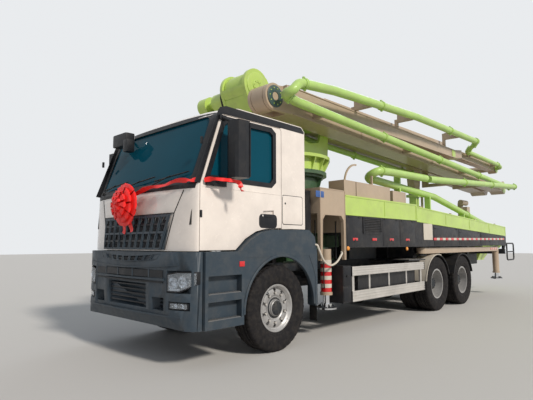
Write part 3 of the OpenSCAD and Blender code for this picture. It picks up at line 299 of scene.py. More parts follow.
class Piece:
    """A mesh that grows from simple solids, given in millimetres from the front axle."""

    def __init__(self, name, material, body="truck", angle=35):
        self.name, self.material, self.body, self.angle = name, [material], body, angle
        self.bm = bmesh.new()
        self.mark = 0

    def tint(self, material):
        """Material of the solids that follow."""
        if material not in self.material:
            self.material.append(material)
        self.mark = self.material.index(material)
        return self

    def faces(self, faces):
        for f in faces:
            f.material_index = self.mark

    def settle(self, made):
        self.faces(made)
        bmesh.ops.recalc_face_normals(self.bm, faces=made)

    def rows(self, points):
        return [[self.bm.verts.new(p) for p in row] for row in points]

    def between(self, rows, around=True):
        """Faces between neighbouring rows of as many vertices each."""
        made = []
        n = len(rows[0])
        for a, b in zip(rows, rows[1:]):
            for i in range(n if around else n - 1):
                j = (i + 1) % n
                made.append(self.bm.faces.new((a[i], a[j], b[j], b[i])))
        return made

    def solid(self, points, capped=True):
        """A solid from ring to ring of as many points each; gives back its vertices."""
        rings = self.rows(points)
        made = self.between(rings)
        if capped:
            made.append(self.bm.faces.new(rings[0][::-1]))
            made.append(self.bm.faces.new(rings[-1]))
        self.settle(made)
        return [v for r in rings for v in r]

    def edge(self, verts, width, segments=2):
        if not width:
            return
        edges = {e for v in verts for e in v.link_edges
                 if len(e.link_faces) == 2 and e.calc_face_angle(0) > SHARP}
        made = bmesh.ops.bevel(self.bm, geom=list(edges), offset=width, segments=segments, affect="EDGES",
                               profile=0.7, clamp_overlap=True)
        self.faces(made["faces"])

    def box(self, a, b, bevel=3.0, m=None):
        """A box between two corners, whose places across may come in either order."""
        (x0, _, z0), (x1, _, z1) = a, b
        y0, y1 = sorted((a[1], b[1]))
        verts = self.solid([[(x0, y0, z), (x1, y0, z), (x1, y1, z), (x0, y1, z)] for z in (z0, z1)])
        if m is not None:
            bmesh.ops.transform(self.bm, matrix=m, verts=verts)
        self.edge(verts, bevel)
        return self

    def slab(self, outline, y0, y1, bevel=3.0):
        """An outline in X and Z, thick between two places across, in either order."""
        self.edge(self.solid([[(x, y, z) for x, z in outline] for y in sorted((y0, y1))]), bevel)
        return self

    def bar(self, a, b, r, n=16, bevel=0.0):
        a, b = Vector(a), Vector(b)
        q = (b - a).to_track_quat("Z", "Y")
        self.edge(self.solid([[base + q @ polar(r, t) for t in circle(n)] for base in (a, b)]), bevel)
        return self

    def tube(self, path, r, n=10, rounds=6):
        """A round tube along points, with smooth corners."""
        pts = smooth_path([Vector(p) for p in path], rounds)
        rings = []
        up = Vector((0, 0, 1))
        for i, p in enumerate(pts):
            d = (pts[min(i + 1, len(pts) - 1)] - pts[max(i - 1, 0)]).normalized()
            side = d.cross(up)
            if side.length < 0.05:
                side = d.cross(Vector((0, 1, 0)))
            side.normalize()
            top = side.cross(d).normalized()
            up = top
            rings.append([p + side * (r * math.cos(t)) + top * (r * math.sin(t)) for t in circle(n)])
        self.solid(rings)
        return self

    def lathe(self, at, axis, profile, n=48, closed=False):
        """A profile of (distance from the axis, place along it) turned round an axis through a place."""
        q = Vector(axis).to_track_quat("Z", "Y")
        at = Vector(at)
        rings = [[at + q @ polar(r, t, h) for t in circle(n)] for r, h in profile]
        if closed:
            rows = self.rows(rings)
            self.settle(self.between(rows + rows[:1]))
        else:
            self.solid(rings)
        return self

    def knob(self, at, axis, r, h, r_top, h_top):
        """A round boss that narrows to its top."""
        return self.lathe(at, axis, [(0, 0), (r, 0), (r, h), (r_top, h_top), (0, h_top)], 20)

    def collar(self, at, axis, r0, r1, h):
        """A ring with a square section."""
        return self.lathe(at, axis, [(r0, 0), (r1, 0), (r1, h), (r0, h)], 40, True)

    def round_axle(self, x, s, section, turns):
        """A strip round an axle at x, from its section of (radius, place across)."""
        self.solid([[(x + r * math.cos(t), s * y, TYRE_R + r * math.sin(t)) for r, y in section]
                    for t in turns])
        return self

    def bolts(self, at, axis, ring_r, count, r, h, turn=0.0):
        q = Vector(axis).to_track_quat("Z", "Y")
        for t in circle(count):
            p = Vector(at) + q @ polar(ring_r, t + turn)
            self.bar(p, p + q @ Vector((0, 0, h)), r, 6)
        return self

    def done(self, replaces=(), slot=None):
        bmesh.ops.remove_doubles(self.bm, verts=self.bm.verts, dist=MERGE)
        bmesh.ops.transform(self.bm, matrix=TO_FRAME, verts=self.bm.verts)
        o = mesh_object(self.name, self.bm, self.material, self.angle)
        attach(o, self.body)
        slot or SLOT_OF[self.material[0]]
        if replaces:
            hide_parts(*replaces)
        return o


def smooth_path(pts, rounds):
    """Rounds the corners of a path with short curves."""
    if len(pts) < 3 or rounds < 1:
        return pts
    out = [pts[0]]
    for a, b, c in zip(pts, pts[1:], pts[2:]):
        reach = min((b - a).length, (c - b).length) * 0.45
        p, q = b + (a - b).normalized() * reach, b + (c - b).normalized() * reach
        for k in range(rounds + 1):
            t = k / rounds
            out.append(p.lerp(b, t).lerp(b.lerp(q, t), t))
    out.append(pts[-1])
    return out


def both_sides(*makers):
    """Runs the makers for the left side, then for the right one."""
    for side, s in SIDES:
        for make in makers:
            make(side, s)


for name, o in NODES.items():
    slot_name = next(r["material_slot"] for r in frame["record"]["subparts"] if r["node"] == name)
    dress(o, OWN_LOOKS.get(name, NODE_LOOKS[slot_name]))
    shade(o, 25)


# WHEELS

def solids_of(node, keep):
    """A new mesh with the solids of a CAD node that pass a test of their vertices, in the frame's metres."""
    src = NODES[node].data
    bm = bmesh.new()
    bm.from_mesh(src)
    bmesh.ops.remove_doubles(bm, verts=bm.verts, dist=1e-6)
    bm.verts.index_update()
    seen, drop = set(), []
    for v in bm.verts:
        if v.index in seen:
            continue
        stack, group = [v], []
        seen.add(v.index)
        while stack:
            w = stack.pop()
            group.append(w)
            for e in w.link_edges:
                x = e.other_vert(w)
                if x.index not in seen:
                    seen.add(x.index)
                    stack.append(x)
        if not keep(group):
            drop += group
    bmesh.ops.delete(bm, geom=drop, context="VERTS")
    return bm


def tyre_section():
    """Half of a tyre's section from the middle of the tread to the bead: radius, place across, and kind.

    Kinds: 0 a rib, 1 a groove, 2 the shoulder, 3 the smooth wall.
    """
    return [
        (540, 0, 0), (540, 26, 0), (539.6, 30, 1), (539.6, 40, 1), (539.3, 44, 0), (539, 74, 0),
        (538.5, 78, 1), (538, 88, 1), (537.4, 92, 0), (535, 118, 0), (531, 130, 0), (521, 137, 2),
        (505, 143, 2), (488, 148.5, 2), (474, 151.6, 3), (455, 154, 3), (430, 155, 3), (405, 154.5, 3),
        (396, 156, 3), (388, 154, 3), (370, 152, 3), (352, 147.5, 3), (338, 143, 3), (330, 144, 3),
        (322, 140.5, 3), (310, 133, 3), (302, 126, 3), (300, 112, 3), (286, 108, 3),
    ]


# Tread: places round the tyre, and how deep it is cut in grooves, notches and at the shoulder
TREAD, GROOVE, NOTCH, SHOULDER = 216, 13, 10, 7
# The notched and slanting blocks lie between these distances from the tread's middle
BLOCK_FROM, BLOCK_TO = 43, 93


def tyre(piece, x, y, out):
    """A tyre with a tread of ribs and shoulder blocks, in the plane at y."""
    half = tyre_section()
    prof = [(r, -s, k) for r, s, k in reversed(half[1:])] + half
    rings = []
    for i, t in enumerate(circle(TREAD)):
        notched = i % 6 == 0
        ring = []
        for r, across, kind in prof:
            if kind == 1:
                r -= GROOVE
            elif kind == 0 and notched and abs(across) > BLOCK_FROM:
                r -= NOTCH
            elif kind == 2 and notched:
                r -= SHOULDER
            slant = 0.6 * math.tau / TREAD if BLOCK_FROM < abs(across) < BLOCK_TO else 0
            turn = t + math.copysign(slant, across)
            ring.append((x + r * math.cos(turn), y + across * out, TYRE_R + r * math.sin(turn)))
        rings.append(ring)
    rows = piece.rows(rings)
    piece.settle(piece.between(rows + rows[:1]))


def rim_of(node, name, body):
    """The rim and hub of a wheel, taken from the CAD's own solids that lie within a reach in metres."""
    reach = 0.31

    def is_rim(group):
        c = sum((v.co for v in group), Vector()) / len(group)
        return max(math.hypot(v.co.x - c.x, v.co.z - TYRE_R / 1000) for v in group) < reach
    o = mesh_object(name, solids_of(node, is_rim), [RIM], 30)
    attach(o, body)
    return o


# By axle: places outwards from the wheel's middle of the nuts, of their rings and of the cap, the rings'
# height, the cap's profile, and its bolts' place, circle, count, radius and height
HUBS = {
    "front": (80, 80, 80, 6, [(0, 48), (60, 48), (84, 44), (96, 38), (100, 30), (104, 4), (132, 2), (134, -2),
                              (0, -2)], (128, 70, 8, 8, 6)),
    "back": (42, 30, 180, 18, [(0, 30), (86, 30), (100, 26), (116, 14), (124, 4), (126, -60), (0, -60)],
             (206, 92, 10, 9, 10)),
}


def wheel(many, place, kind, x, y, planes, s):
    """The tyres, rim and hub that stand for one wheel's node, with the tyres' planes counted from y."""
    body = "wheel%s_%s" % (many, place)
    t = Piece("tyre%s_%s" % (many, place), RUBBER, body, 40)
    for off in planes:
        tyre(t, x, s * (y + off), s)
    tyre_piece = t.done()
    rim = rim_of(body, "rim%s_%s" % (many, place), body)
    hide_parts(body)
    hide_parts(body)
    h = Piece("hub_" + place, DARK, body)
    nuts, washers, cap_at, washer_h, profile, (bolts_at, circle, count, r, high) = HUBS[kind]

    def at(off):
        return (x, s * y + s * off, TYRE_R)
    out = (0, s, 0)
    nut_circle, nut_count, nut_turn = 186, 10, 0.31
    h.tint(ALU).bolts(at(nuts), out, nut_circle, nut_count, 15, 26, nut_turn)
    h.tint(DARK).bolts(at(washers), out, nut_circle, nut_count, 21, washer_h, nut_turn)
    h.lathe(at(cap_at), out, profile, 40)
    h.bolts(at(bolts_at), out, circle, count, r, high)
    if kind == "front":
        h.tint(ALU).tube([(196, s * (y + 70), 660), (204, s * (y + 96), 666), (236, s * (y + 112), 686)], 5)
    h.done()


def wheels(side, s):
    wheel("", "front_" + side, "front", 0, 1025, (0,), s)
    for row, x in (("mid", MID_AXLE_X), ("rear", REAR_AXLE_X)):
        wheel("s", "%s_%s" % (row, side), "back", x, 905, (-170, 170), s)


both_sides(wheels)


# CAB

CORNER_POWER = 3.0
# Places along X of the cab's front face and of the doors' front edge, by height
FRONT_LINE = [(1270, 1390), (1700, 1370), (2020, 1330), (2905, 1000), (2975, 880)]
DOOR_LINE = [(1270, 1258), (2010, 1258), (2798, 993), (2860, 945), (2905, 800), (2975, 650)]


def at_height(line, z):
    """Second place at z along points in the order of their first places, kept between the ends."""
    z = min(max(z, line[0][0]), line[-1][0])
    for a, b in zip(line, line[1:]):
        if z <= b[0]:
            return along_line(a, b, z)


def rounded_x(x, y, z):
    """Place along X of a point ahead of the doors once the cab's front corners are rounded in plan."""
    door = at_height(DOOR_LINE, z)
    if x <= door:
        return x
    t = min(1.0, abs(y) / CAB_HALF)
    return door + (x - door) * (0.03 + 0.97 * math.sqrt(1 - t ** CORNER_POWER))


def front_point(y, z):
    return Vector((rounded_x(at_height(FRONT_LINE, z), y, z), y, z))


def on_front(y, z, off):
    """A point off the cab's rounded front face."""
    step = 2.0
    side = 1 if abs(y) + step < CAB_HALF else -1
    dy = (front_point(y + step * side, z) - front_point(y, z)) * side
    dz = front_point(y, z + step) - front_point(y, z - step)
    n = dy.cross(dz).normalized()
    return front_point(y, z) + n * off


def dense(outline, step):
    """An outline with more points along its long sides."""
    out = []
    for a, b in zip(outline, outline[1:] + outline[:1]):
        count = max(1, int(math.dist(a, b) // step))
        out += [part_way(a, b, k / count) for k in range(count)]
    return out


def reshaped(node, name, move, cuts):
    """A copy of a CAD node's mesh, cut along planes and with its points moved, which replaces the node."""
    src = NODES[node]
    bm = bmesh.new()
    bm.from_mesh(src.data)
    bmesh.ops.transform(bm, matrix=TO_FRAME.inverted(), verts=bm.verts)
    for place, normal in cuts:
        everything = bm.verts[:] + bm.edges[:] + bm.faces[:]
        bmesh.ops.bisect_plane(bm, geom=everything, plane_co=place, plane_no=normal)
    for v in bm.verts:
        v.co = Vector(move(*v.co))
    bmesh.ops.remove_doubles(bm, verts=bm.verts, dist=MERGE)
    bmesh.ops.dissolve_degenerate(bm, edges=bm.edges, dist=MERGE / 2)
    bmesh.ops.transform(bm, matrix=TO_FRAME, verts=bm.verts)
    o = mesh_object(name, bm, src.data.materials, 30)
    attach(o, "truck")
    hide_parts(node)
    return o


def lengthwise(ys):
    """Upright cutting planes along the truck, at places on both sides."""
    return [((0, s * y, 0), (0, 1, 0)) for y in ys for s in (-1, 1)]


def corner_cuts():
    ys = [CAB_HALF * math.sin(math.radians(a)) ** (2 / CORNER_POWER)
          for a in (2, 8, 18, 30, 42, 54, 64, 73, 80, 86)]
    return lengthwise(ys) + [((0, 0, z), (0, 0, 1)) for z, _ in DOOR_LINE[1:-1]]


def cab_skin():
    def move(x, y, z):
        return rounded_x(x, y, z), y, z
    o = reshaped("cab_shell", "cab_skin", move, corner_cuts())
    # Black front pillars
    o.data.materials.append(PLASTIC)
    black = len(o.data.materials) - 1
    back = TO_FRAME.inverted()
    for face in o.data.polygons:
        x, y, z = back @ face.center
        if 2016 < z < 2900 and abs(y) > 1000 and x > at_height(DOOR_LINE, z) - 2:
            face.material_index = black
    reshaped("cab_glass", "cab_panes", move, corner_cuts())


def beside(s, y):
    """Places over an upright face at one side, from the place along X, the height and the distance off it."""
    return lambda u, v, off: (u, s * (y + off), v)


def ring_plate(piece, outer, inner, place, off0, off1):
    """A flat frame between two outlines of as many points, laid on a surface by place(u, v, off)."""
    rows = piece.rows([[place(u, v, off) for u, v in line]
                       for line, off in ((outer, off0), (outer, off1), (inner, off1), (inner, off0))])
    piece.settle(piece.between(rows + rows[:1]))


def rounded(u0, v0, u1, v1, r, n=5):
    """A rectangle's outline with round corners."""
    out = []
    corners = ((u1 - r, v1 - r), (u0 + r, v1 - r), (u0 + r, v0 + r), (u1 - r, v0 + r))
    for corner, (cu, cv) in enumerate(corners):
        for k in range(n + 1):
            t = math.radians(90 * corner + 90 * k / n)
            out.append((cu + r * math.cos(t), cv + r * math.sin(t)))
    return out


def cushion(piece, outline, place, off0, off1, lip=4.0):
    """A panel with a softened rim, laid on a surface."""
    cu = sum(u for u, _ in outline) / len(outline)
    cv = sum(v for _, v in outline) / len(outline)

    def shrunk(by):
        out = []
        for u, v in outline:
            d = math.hypot(u - cu, v - cv)
            out.append((u + (cu - u) * by / d, v + (cv - v) * by / d))
        return out
    high = off1 - off0
    rings = [(0, off0), (0, off0 + high * 0.6), (lip * 0.4, off0 + high * 0.9), (lip, off1)]
    piece.solid([[place(u, v, off) for u, v in shrunk(by)] for by, off in rings])


def band(piece, outer, inner, off0, off1):
    """A frame on the cab's front between two outlines whose corners go round in the same order."""
    a, b = [], []
    for (a0, a1), (b0, b1) in zip(zip(outer, outer[1:] + outer[:1]), zip(inner, inner[1:] + inner[:1])):
        count = max(1, int(max(math.dist(a0, a1), math.dist(b0, b1)) // 45))
        for k in range(count):
            a.append(part_way(a0, a1, k / count))
            b.append(part_way(b0, b1, k / count))
    ring_plate(piece, a, b, on_front, off0, off1)


def skin(piece, outline_low, outline_top, off0, off1, rows=8):
    """A panel on the cab's front between a lower and an upper edge of as many points, with a soft rim."""
    grid = [[part_way(a, b, k / rows) for a, b in zip(outline_low, outline_top)] for k in range(rows + 1)]
    n = len(outline_low)

    def height(i, k):
        edge = i in (0, n - 1) or k in (0, rows)
        return off0 + (off1 - off0) * (0.35 if edge else 1.0)
    top = piece.rows([[on_front(*grid[k][i], height(i, k)) for i in range(n)] for k in range(rows + 1)])
    low = piece.rows([[on_front(*grid[k][i], off0 - 6) for i in range(n)] for k in range(rows + 1)])
    made = []
    for k in range(rows):
        for i in range(n - 1):
            made.append(piece.bm.faces.new((top[k][i], top[k][i + 1], top[k + 1][i + 1], top[k + 1][i])))
            made.append(piece.bm.faces.new((low[k][i], low[k + 1][i], low[k + 1][i + 1], low[k][i + 1])))
    rim_t = ([(0, i) for i in range(n)] + [(k, n - 1) for k in range(1, rows + 1)]
             + [(rows, i) for i in range(n - 2, -1, -1)] + [(k, 0) for k in range(rows - 1, 0, -1)])
    for (ka, ia), (kb, ib) in zip(rim_t, rim_t[1:] + rim_t[:1]):
        made.append(piece.bm.faces.new((top[ka][ia], low[ka][ia], low[kb][ib], top[kb][ib])))
    piece.settle(made)


def spread(y0, y1, z0, z1, count, arch=0.0):
    """Points from one place to another along the front, with an arch's rise in their middle."""
    return [(y0 + (y1 - y0) * k / count, z0 + (z1 - z0) * k / count + arch * (1 - (2 * k / count - 1) ** 2))
            for k in range(count + 1)]


def windscreen_band():
    p = Piece("windscreen_band", PLASTIC)
    band(p, rounded(-1147, 2012, 1147, 2900, 70), rounded(-1030, 2072, 1030, 2842, 90), -3, 6)
    # Cowl under the windscreen with its air slots
    skin(p, spread(-1105, 1105, 1962, 1962, 40, 12), spread(-1128, 1128, 2052, 2052, 40), -2, 10, 4)
    for y in range(-900, 901, 75):
        a = on_front(y, 1995, 10)
        p.tint(HOSE).box(a - Vector((4, 26, 6)), a + Vector((3, 26, 6)), 1)
    p.done()


def wipers():
    w = Piece("wipers", HOSE)
    for y in (-960, -330, 320):
        n = (on_front(y, 2060, 1) - on_front(y, 2060, 0)).normalized()
        a, b = on_front(y, 2040, 26), on_front(y + 330, 2128, 30)
        w.lathe(a - n * 22, n, [(0, 0), (22, 0), (20, 26), (0, 32)], 16)
        w.tube([a, a.lerp(b, 0.4) + n * 6, b], 7, 6)
        ends = [on_front(y + 20 + 620 * k / 4, 2098 + 60 * k / 4, 20) for k in range(5)]
        w.tube(ends, 6, 6, 2)
        w.tube([e - n * 9 for e in ends], 4, 6, 2)
        w.bar(b, ends[2], 8, 8)
    w.done()


def hood_flap():
    """Service flap, narrower at its lower edge."""
    f = Piece("hood_flap", WHITE)
    skin(f, spread(-806, 806, 1704, 1704, 32), spread(-930, 930, 1950, 1950, 32, 10), -2, 8)
    f.done()


def hood_gaps():
    g = Piece("hood_gaps", HOSE)
    for s in (-1, 1):
        for y, dy, z, dz, n in ((812, 124, 1700, 252, 6), (680, 132, 1284, 412, 8)):
            g.tube([on_front(s * (y + dy * k / n), z + dz * k / n, 1.5) for k in range(n + 1)], 5, 6, 2)
    g.tube([on_front(-806 + 1612 * k / 24, 1697, 2) for k in range(25)], 6, 6, 2)
    g.done()


def slot_rows(z0, z1, half0, half1, count, arch=0.0):
    """Outlines of a row of openings: lower and upper edges, and the half-widths of the row there."""
    out = []
    for i in range(count):
        ts = [(2 * i + 0.24) / count - 1, (2 * i + 1.76) / count - 1]
        low, top = ([(t * half, z - arch * (1 - t * t)) for t in ts]
                    for z, half in ((z0, half0), (z1, half1)))
        out.append(low + top[::-1])
    return out


def toothed_row(piece, outlines, place, depth):
    """Openings with a rim each, a dark back, and three fins crossed by a bar."""
    for quad in outlines:
        (ya, za), (yb, zb), (yc, zc), (yd, zd) = quad
        ym, zm = (ya + yb + yc + yd) / 4, (za + zb + zc + zd) / 4
        piece.tint(SLATE)
        rim = [(y + (y - ym) * 0.16, z + (z - zm) * 0.16) for y, z in quad]
        ring_plate(piece, rim, quad, place, -depth, 9)
        piece.tint(HOSE)
        cushion(piece, quad, place, -depth, -depth + 4, 1)
        piece.tint(PLASTIC)
        w = abs(yb - ya) * 0.045
        for t in (0.26, 0.5, 0.74):
            (yl, zl), (yt, zt) = part_way(quad[0], quad[1], t), part_way(quad[3], quad[2], t)
            cushion(piece, [(yl - w, zl), (yl + w, zl), (yt + w, zt), (yt - w, zt)], place, -depth, -3, 1)
        h = (zd - za) * 0.07
        mid_a, mid_b = (za + zd) / 2, (zb + zc) / 2
        cushion(piece, [(ya, mid_a - h), (yb, mid_b - h), (yb, mid_b + h), (ya, mid_a + h)], place, -depth,
                1, 1)


def grille_place(y, z, off):
    """On the grille's bowed face, which stands further out at its lower edge."""
    p = on_front(y, max(z, 1275), off)
    p.x += 42 * (1692 - z) / 410 + 8
    return p


def grille_front():
    g = Piece("grille_face", SLATE)
    top, low = (770, 1690), (668, 1286)
    outline = dense([(-low[0], low[1]), (low[0], low[1]), (top[0], top[1]), (-top[0], top[1])], 60)
    g.solid([[grille_place(y, z, off) for y, z in outline] for off in (-60, -16)], False)
    quads = slot_rows(1494, 1662, 706, 742, 10) + slot_rows(1306, 1470, 664, 700, 10)
    # Face plate between the openings
    n, rows = 60, 24
    for row in range(rows):
        (h0, z0), (h1, z1) = (part_way(low, top, k / rows) for k in (row, row + 1))
        for i in range(n):
            a, b = 2 * i / n - 1, 2 * (i + 1) / n - 1
            ym, zm = (a + b) / 2 * (h0 + h1) / 2, (z0 + z1) / 2
            if any(q[0][1] < zm < q[2][1] and q[0][0] < ym < q[1][0] for q in quads):
                continue
            g.faces([g.bm.faces.new([g.bm.verts.new(grille_place(y, z, 3))
                                     for y, z in ((a * h0, z0), (b * h0, z0), (b * h1, z1), (a * h1, z1))])])
    toothed_row(g, quads, grille_place, 34)
    g.done(replaces=["grille"], slot="slate_plastic")


def bumper_place(y, z, off):
    """On the bumper's face, which leans back above its curved lip."""
    return Vector((plan_x(y) - max(0, z - 1120) * 0.212 + off, y, z))


def bowed(piece, reach, count, x0, x1, z0, z1, soft=0, sag=0):
    """A strip across the bumper that follows its bow, from x0 to x1 off it, with softened outer edges."""
    rings = []
    for k in range(count + 1):
        y = reach * (2 * k / count - 1)
        drop = sag * (1 - (y / reach) ** 2)
        x = plan_x(y)
        rings.append([(x + x0, y, z0 - drop), (x + x1, y, z0 - drop + soft), (x + x1, y, z1 - drop - soft),
                      (x + x0, y, z1 - drop)])
    piece.solid(rings)


def bumper_trim():
    b = Piece("bumper_slots", SLATE)
    toothed_row(b, slot_rows(1186, 1242, 640, 700, 9, 34), bumper_place, 22)
    b.done()
    t = Piece("bumper_trim", SLATE)
    # Lip under the curved row, then the ledges across the middle
    bowed(t, 1000, 40, -20, 12, 1118, 1132, 0, 44)
    bowed(t, 790, 40, -20, 12, 946, 968)
    bowed(t, 1040, 40, -20, 6, 560, 574)
    # Black field between the headlamps, with posts and louvres
    t.tint(PLASTIC)
    bowed(t, 760, 30, -6, 4, 975, 1062, 4)
    bowed(t, 760, 30, -6, 4, 916, 938, 4)
    for y in (-500, -170, 170, 500):
        t.tint(SLATE).box((plan_x(y) - 4, y - 9, 972), (plan_x(y) + 9, y + 9, 1064), 3)
    t.tint(PLASTIC)
    for z in (660, 710, 760, 810, 860):
        t.box((1424, -420, z), (1436, 420, z + 16), 3)
    for s in (-1, 1):
        for z in (640, 680, 720):
            t.box((1336, s * 570, z), (1352, s * 770, z + 14), 2)
    t.done()


def smooth_bumper():
    """The bumper with its plan drawn as one curve instead of straight runs."""
    fine = [(0, 1464), (500, 1462), (660, 1456), (820, 1447), (945, 1430), (1050, 1402), (1110, 1368),
            (1150, 1337), (1176, 1300), (1190, 1265)]

    def swell(y):
        return at_height(fine, abs(y)) - plan_x(y) if abs(y) <= fine[-1][0] else 0

    def move(x, y, z):
        return (x + (swell(y) if x > 1250 else 0), y, z)
    ys = [y for y, _ in fine if y] + [560, 740, 880, 1000, 1080, 1130, 1163]
    reshaped("bumper", "bumper_skin", move, lengthwise(ys))


# The bumper's plan: place across, and place along X of its face
PLAN = [(500, 1462), (820, 1447), (1050, 1402), (1182, 1302), (1197, 1242)]


def plan_x(y):
    """The bumper's front face at a distance from the middle."""
    y = abs(y)
    for a, b in zip(PLAN, PLAN[1:]):
        if y <= b[0]:
            return along_line(a, b, y)
    return 1240


LAMP_YS = [838, 880, 930, 980, 1030, 1080, 1120, 1160, 1188]
# Headlamp's and fog lamp's outlines by place across and height
LAMP_EDGE = ([(y, 1052 - 26 * max(0, (1000 - y)) / 160) for y in LAMP_YS]
             + [(y, 828 + 90 * max(0, (y - 1020)) / 170) for y in reversed(LAMP_YS)])
FOG_EDGE = rounded(872, 648, 1112, 722, 20)


def over_bumper(s):
    return lambda u, v, off: (plan_x(u) + off, s * u, v)


def lamp_units():
    p = Piece("lamp_units", PLASTIC)
    for s in (-1, 1):
        front = over_bumper(s)
        # Back of the lamp's bowl, a rim round it, then what lies inside
        p.tint(PLASTIC)
        cushion(p, LAMP_EDGE, front, -95, -80, 6)
        inner = [(u + (1010 - u) * 0.06, v + (940 - v) * 0.12) for u, v in LAMP_EDGE]
        ring_plate(p, LAMP_EDGE, inner, front, -90, 3)
        p.tint(CHROME)
        for y, z, r in ((905, 925, 66), (1045, 945, 62)):
            x = plan_x(y) - 70
            bowl = [(0, 0), (r * 0.5, 4), (r * 0.8, 22), (r, 50), (r + 6, 52), (r + 6, 44), (r * 0.85, 10),
                    (0, -6)]
            p.lathe((x, s * y, z), (1, 0.12 * s, 0), bowl, 32)
            p.lathe((x + 6, s * y, z), (1, 0.12 * s, 0), [(0, 30), (12, 28), (20, 16), (22, 0), (0, 0)], 20)
        p.tint(AMBER).box((1262, s * 1120, 960), (1290, s * 1170, 1030), 4)
        p.tint(CHROME)
        cushion(p, [(850, 846), (1000, 850), (1000, 866), (850, 862)], front, -30, -16, 3)
        # Fog lamp
        p.tint(PLASTIC)
        cushion(p, FOG_EDGE, front, -60, -48, 6)
        ring_plate(p, FOG_EDGE, rounded(884, 658, 1100, 712, 16), front, -55, 3)
        p.tint(CHROME)
        for y in (945, 1040):
            p.lathe((plan_x(y) - 46, s * y, 685), (1, 0.1 * s, 0),
                    [(0, 0), (18, 6), (25, 22), (28, 22), (26, 0), (0, -3)], 24)
        # Side marker and tail lamp
        p.tint(RED).box((660, s * 1236, 1090), (740, s * 1243, 1150), 2)
        p.tint(PLASTIC).box((-9520, s * 940, 1080), (-9480, s * 1120, 1190), 6)
        for y, m in ((958, RED), (1016, RED), (1074, AMBER)):
            p.tint(m).box((-9526, s * y, 1092), (-9516, s * (y + 48), 1178), 4)
    p.done(replaces=["lamps"], slot="lamp_clear")
    g = Piece("lamp_glass", LENS)
    for s in (-1, 1):
        for shape in (LAMP_EDGE, FOG_EDGE):
            cu, cv = (sum(line) / len(shape) for line in zip(*shape))
            grid_cap(g, [(u + (cu - u) * 0.05, v + (cv - v) * 0.1) for u, v in shape], over_bumper(s), 2.5)
    g.done()


def grid_cap(piece, outline, place, off):
    """A thin skin between an outline's two halves, its upper and lower edge, following a curved surface."""
    n = len(outline) // 2
    for d in (off, off - 3):
        rows = piece.rows([[place(*part_way(a, b, k / 4), d) for a, b in zip(outline[:n], outline[n:][::-1])]
                           for k in range(5)])
        piece.settle(piece.between(rows, False))


WINDOW = [(1112, 2122), (898, 2735), (853, 2770), (130, 2786), (76, 2752), (76, 2178), (128, 2119)]
WINDOW_RIM = [(1200, 2062), (952, 2778), (888, 2838), (100, 2850), (16, 2790), (16, 2136), (100, 2062)]


def door_trim(side, s):
    d = Piece("door_trim_" + side, PLASTIC, "door_" + side)
    face = beside(s, CAB_HALF)
    ring_plate(d, WINDOW_RIM, WINDOW, face, -20, 5)
    # Handle over the dark hand recess
    cushion(d, rounded(-2, 1544, 330, 1722, 56), face, -2, 1.5, 5)
    d.box((70, s * 1128, 1676), (232, s * 1156, 1716), 9)
    d.tint(ALU).knob((262, s * 1149, 1700), (0, s, 0), 13, 4, 9, 6)
    # Pressed line along the door, and the hinges' covers
    d.tint(WHITE).slab([(1236, 1985), (1236, 1996), (-70, 1990), (-70, 1979)], s * 1149, s * 1153, 1.5)
    d.tint(PLASTIC)
    for z in (1640, 2460):
        d.box((1222, s * 1136, z), (1250, s * 1158, z + 80), 5)
    # The mirror's two glasses and their rim
    d.tint(CHROME)
    for z0, z1 in ((2330, 2690), (2120, 2300)):
        d.box((809, s * 1296, z0), (815, s * 1472, z1), 2)
    d.tint(PLASTIC)
    ring_plate(d, rect(1280, 2095, 1488, 2715), rect(1296, 2112, 1472, 2698),
               lambda u, v, off, s=s: (812 + off, s * u, v), -8, 6)
    d.done()


def cab_band(side, s):
    c = Piece("cab_band_" + side, PLASTIC)
    c.slab([(1262, 2016), (1329, 2022), (1003, 2898), (975, 2934), (884, 2964), (-504, 2964),
            (-566, 2912), (-568, 2884), (-96, 2884), (-60, 2876), (934, 2861), (992, 2795)],
           s * 1149, s * 1153.5, 1.5)
    c.done()


def cab_hatch(side, s):
    face = beside(s, CAB_HALF)
    h = Piece("cab_hatch_" + side, WHITE)
    cushion(h, rounded(-520, 1606, -112, 1984, 28), face, -2, 5, 7)
    h.tint(PLASTIC)
    ring_plate(h, rounded(-528, 1598, -104, 1992, 32), rounded(-518, 1608, -114, 1982, 26), face, -2, 1.2)
    h.knob((-160, s * 1153, 1880), (0, s, 0), 14, 3, 10, 5)
    h.done()


def step_treads(side, s):
    f = Piece("step_treads_" + side, GREY)
    for z in (520, 800):
        f.box((706, s * 1152, z), (1184, s * 1232, z + 8), 1.5)
        for x in range(720, 1176, 38):
            f.box((x, s * 1160, z + 7), (x + 18, s * 1224, z + 13), 1.5)
    # Mud flap and its clamp
    f.tint(HOSE).box((-728, s * 1104, 300), (-718, s * 1230, 540), 2)
    f.tint(SLATE).box((-734, s * 1104, 508), (-692, s * 1230, 530), 4)
    f.done()


def arch_lip(side, s):
    """Rolled lip round the front wheel arch."""
    a = Piece("arch_lip_" + side, SLATE)
    turns = [math.radians(180 * k / 40) for k in range(41)]
    section = ((644, 1206), (644, 1242), (650, 1248), (666, 1248), (674, 1240), (674, 1234), (652, 1234),
               (652, 1206))
    a.round_axle(0, s, section, turns)
    # Plate between the arch and the fender's straight edges
    arch = [(654 * math.cos(t), TYRE_R + 654 * math.sin(t)) for t in turns]
    edge = [(min(662, max(-692, 960 * math.cos(t))), min(1196, TYRE_R + 960 * math.sin(t)))
            for t in turns]
    a.slab(arch + edge[::-1], s * 1206, s * 1232, 0)
    a.done()


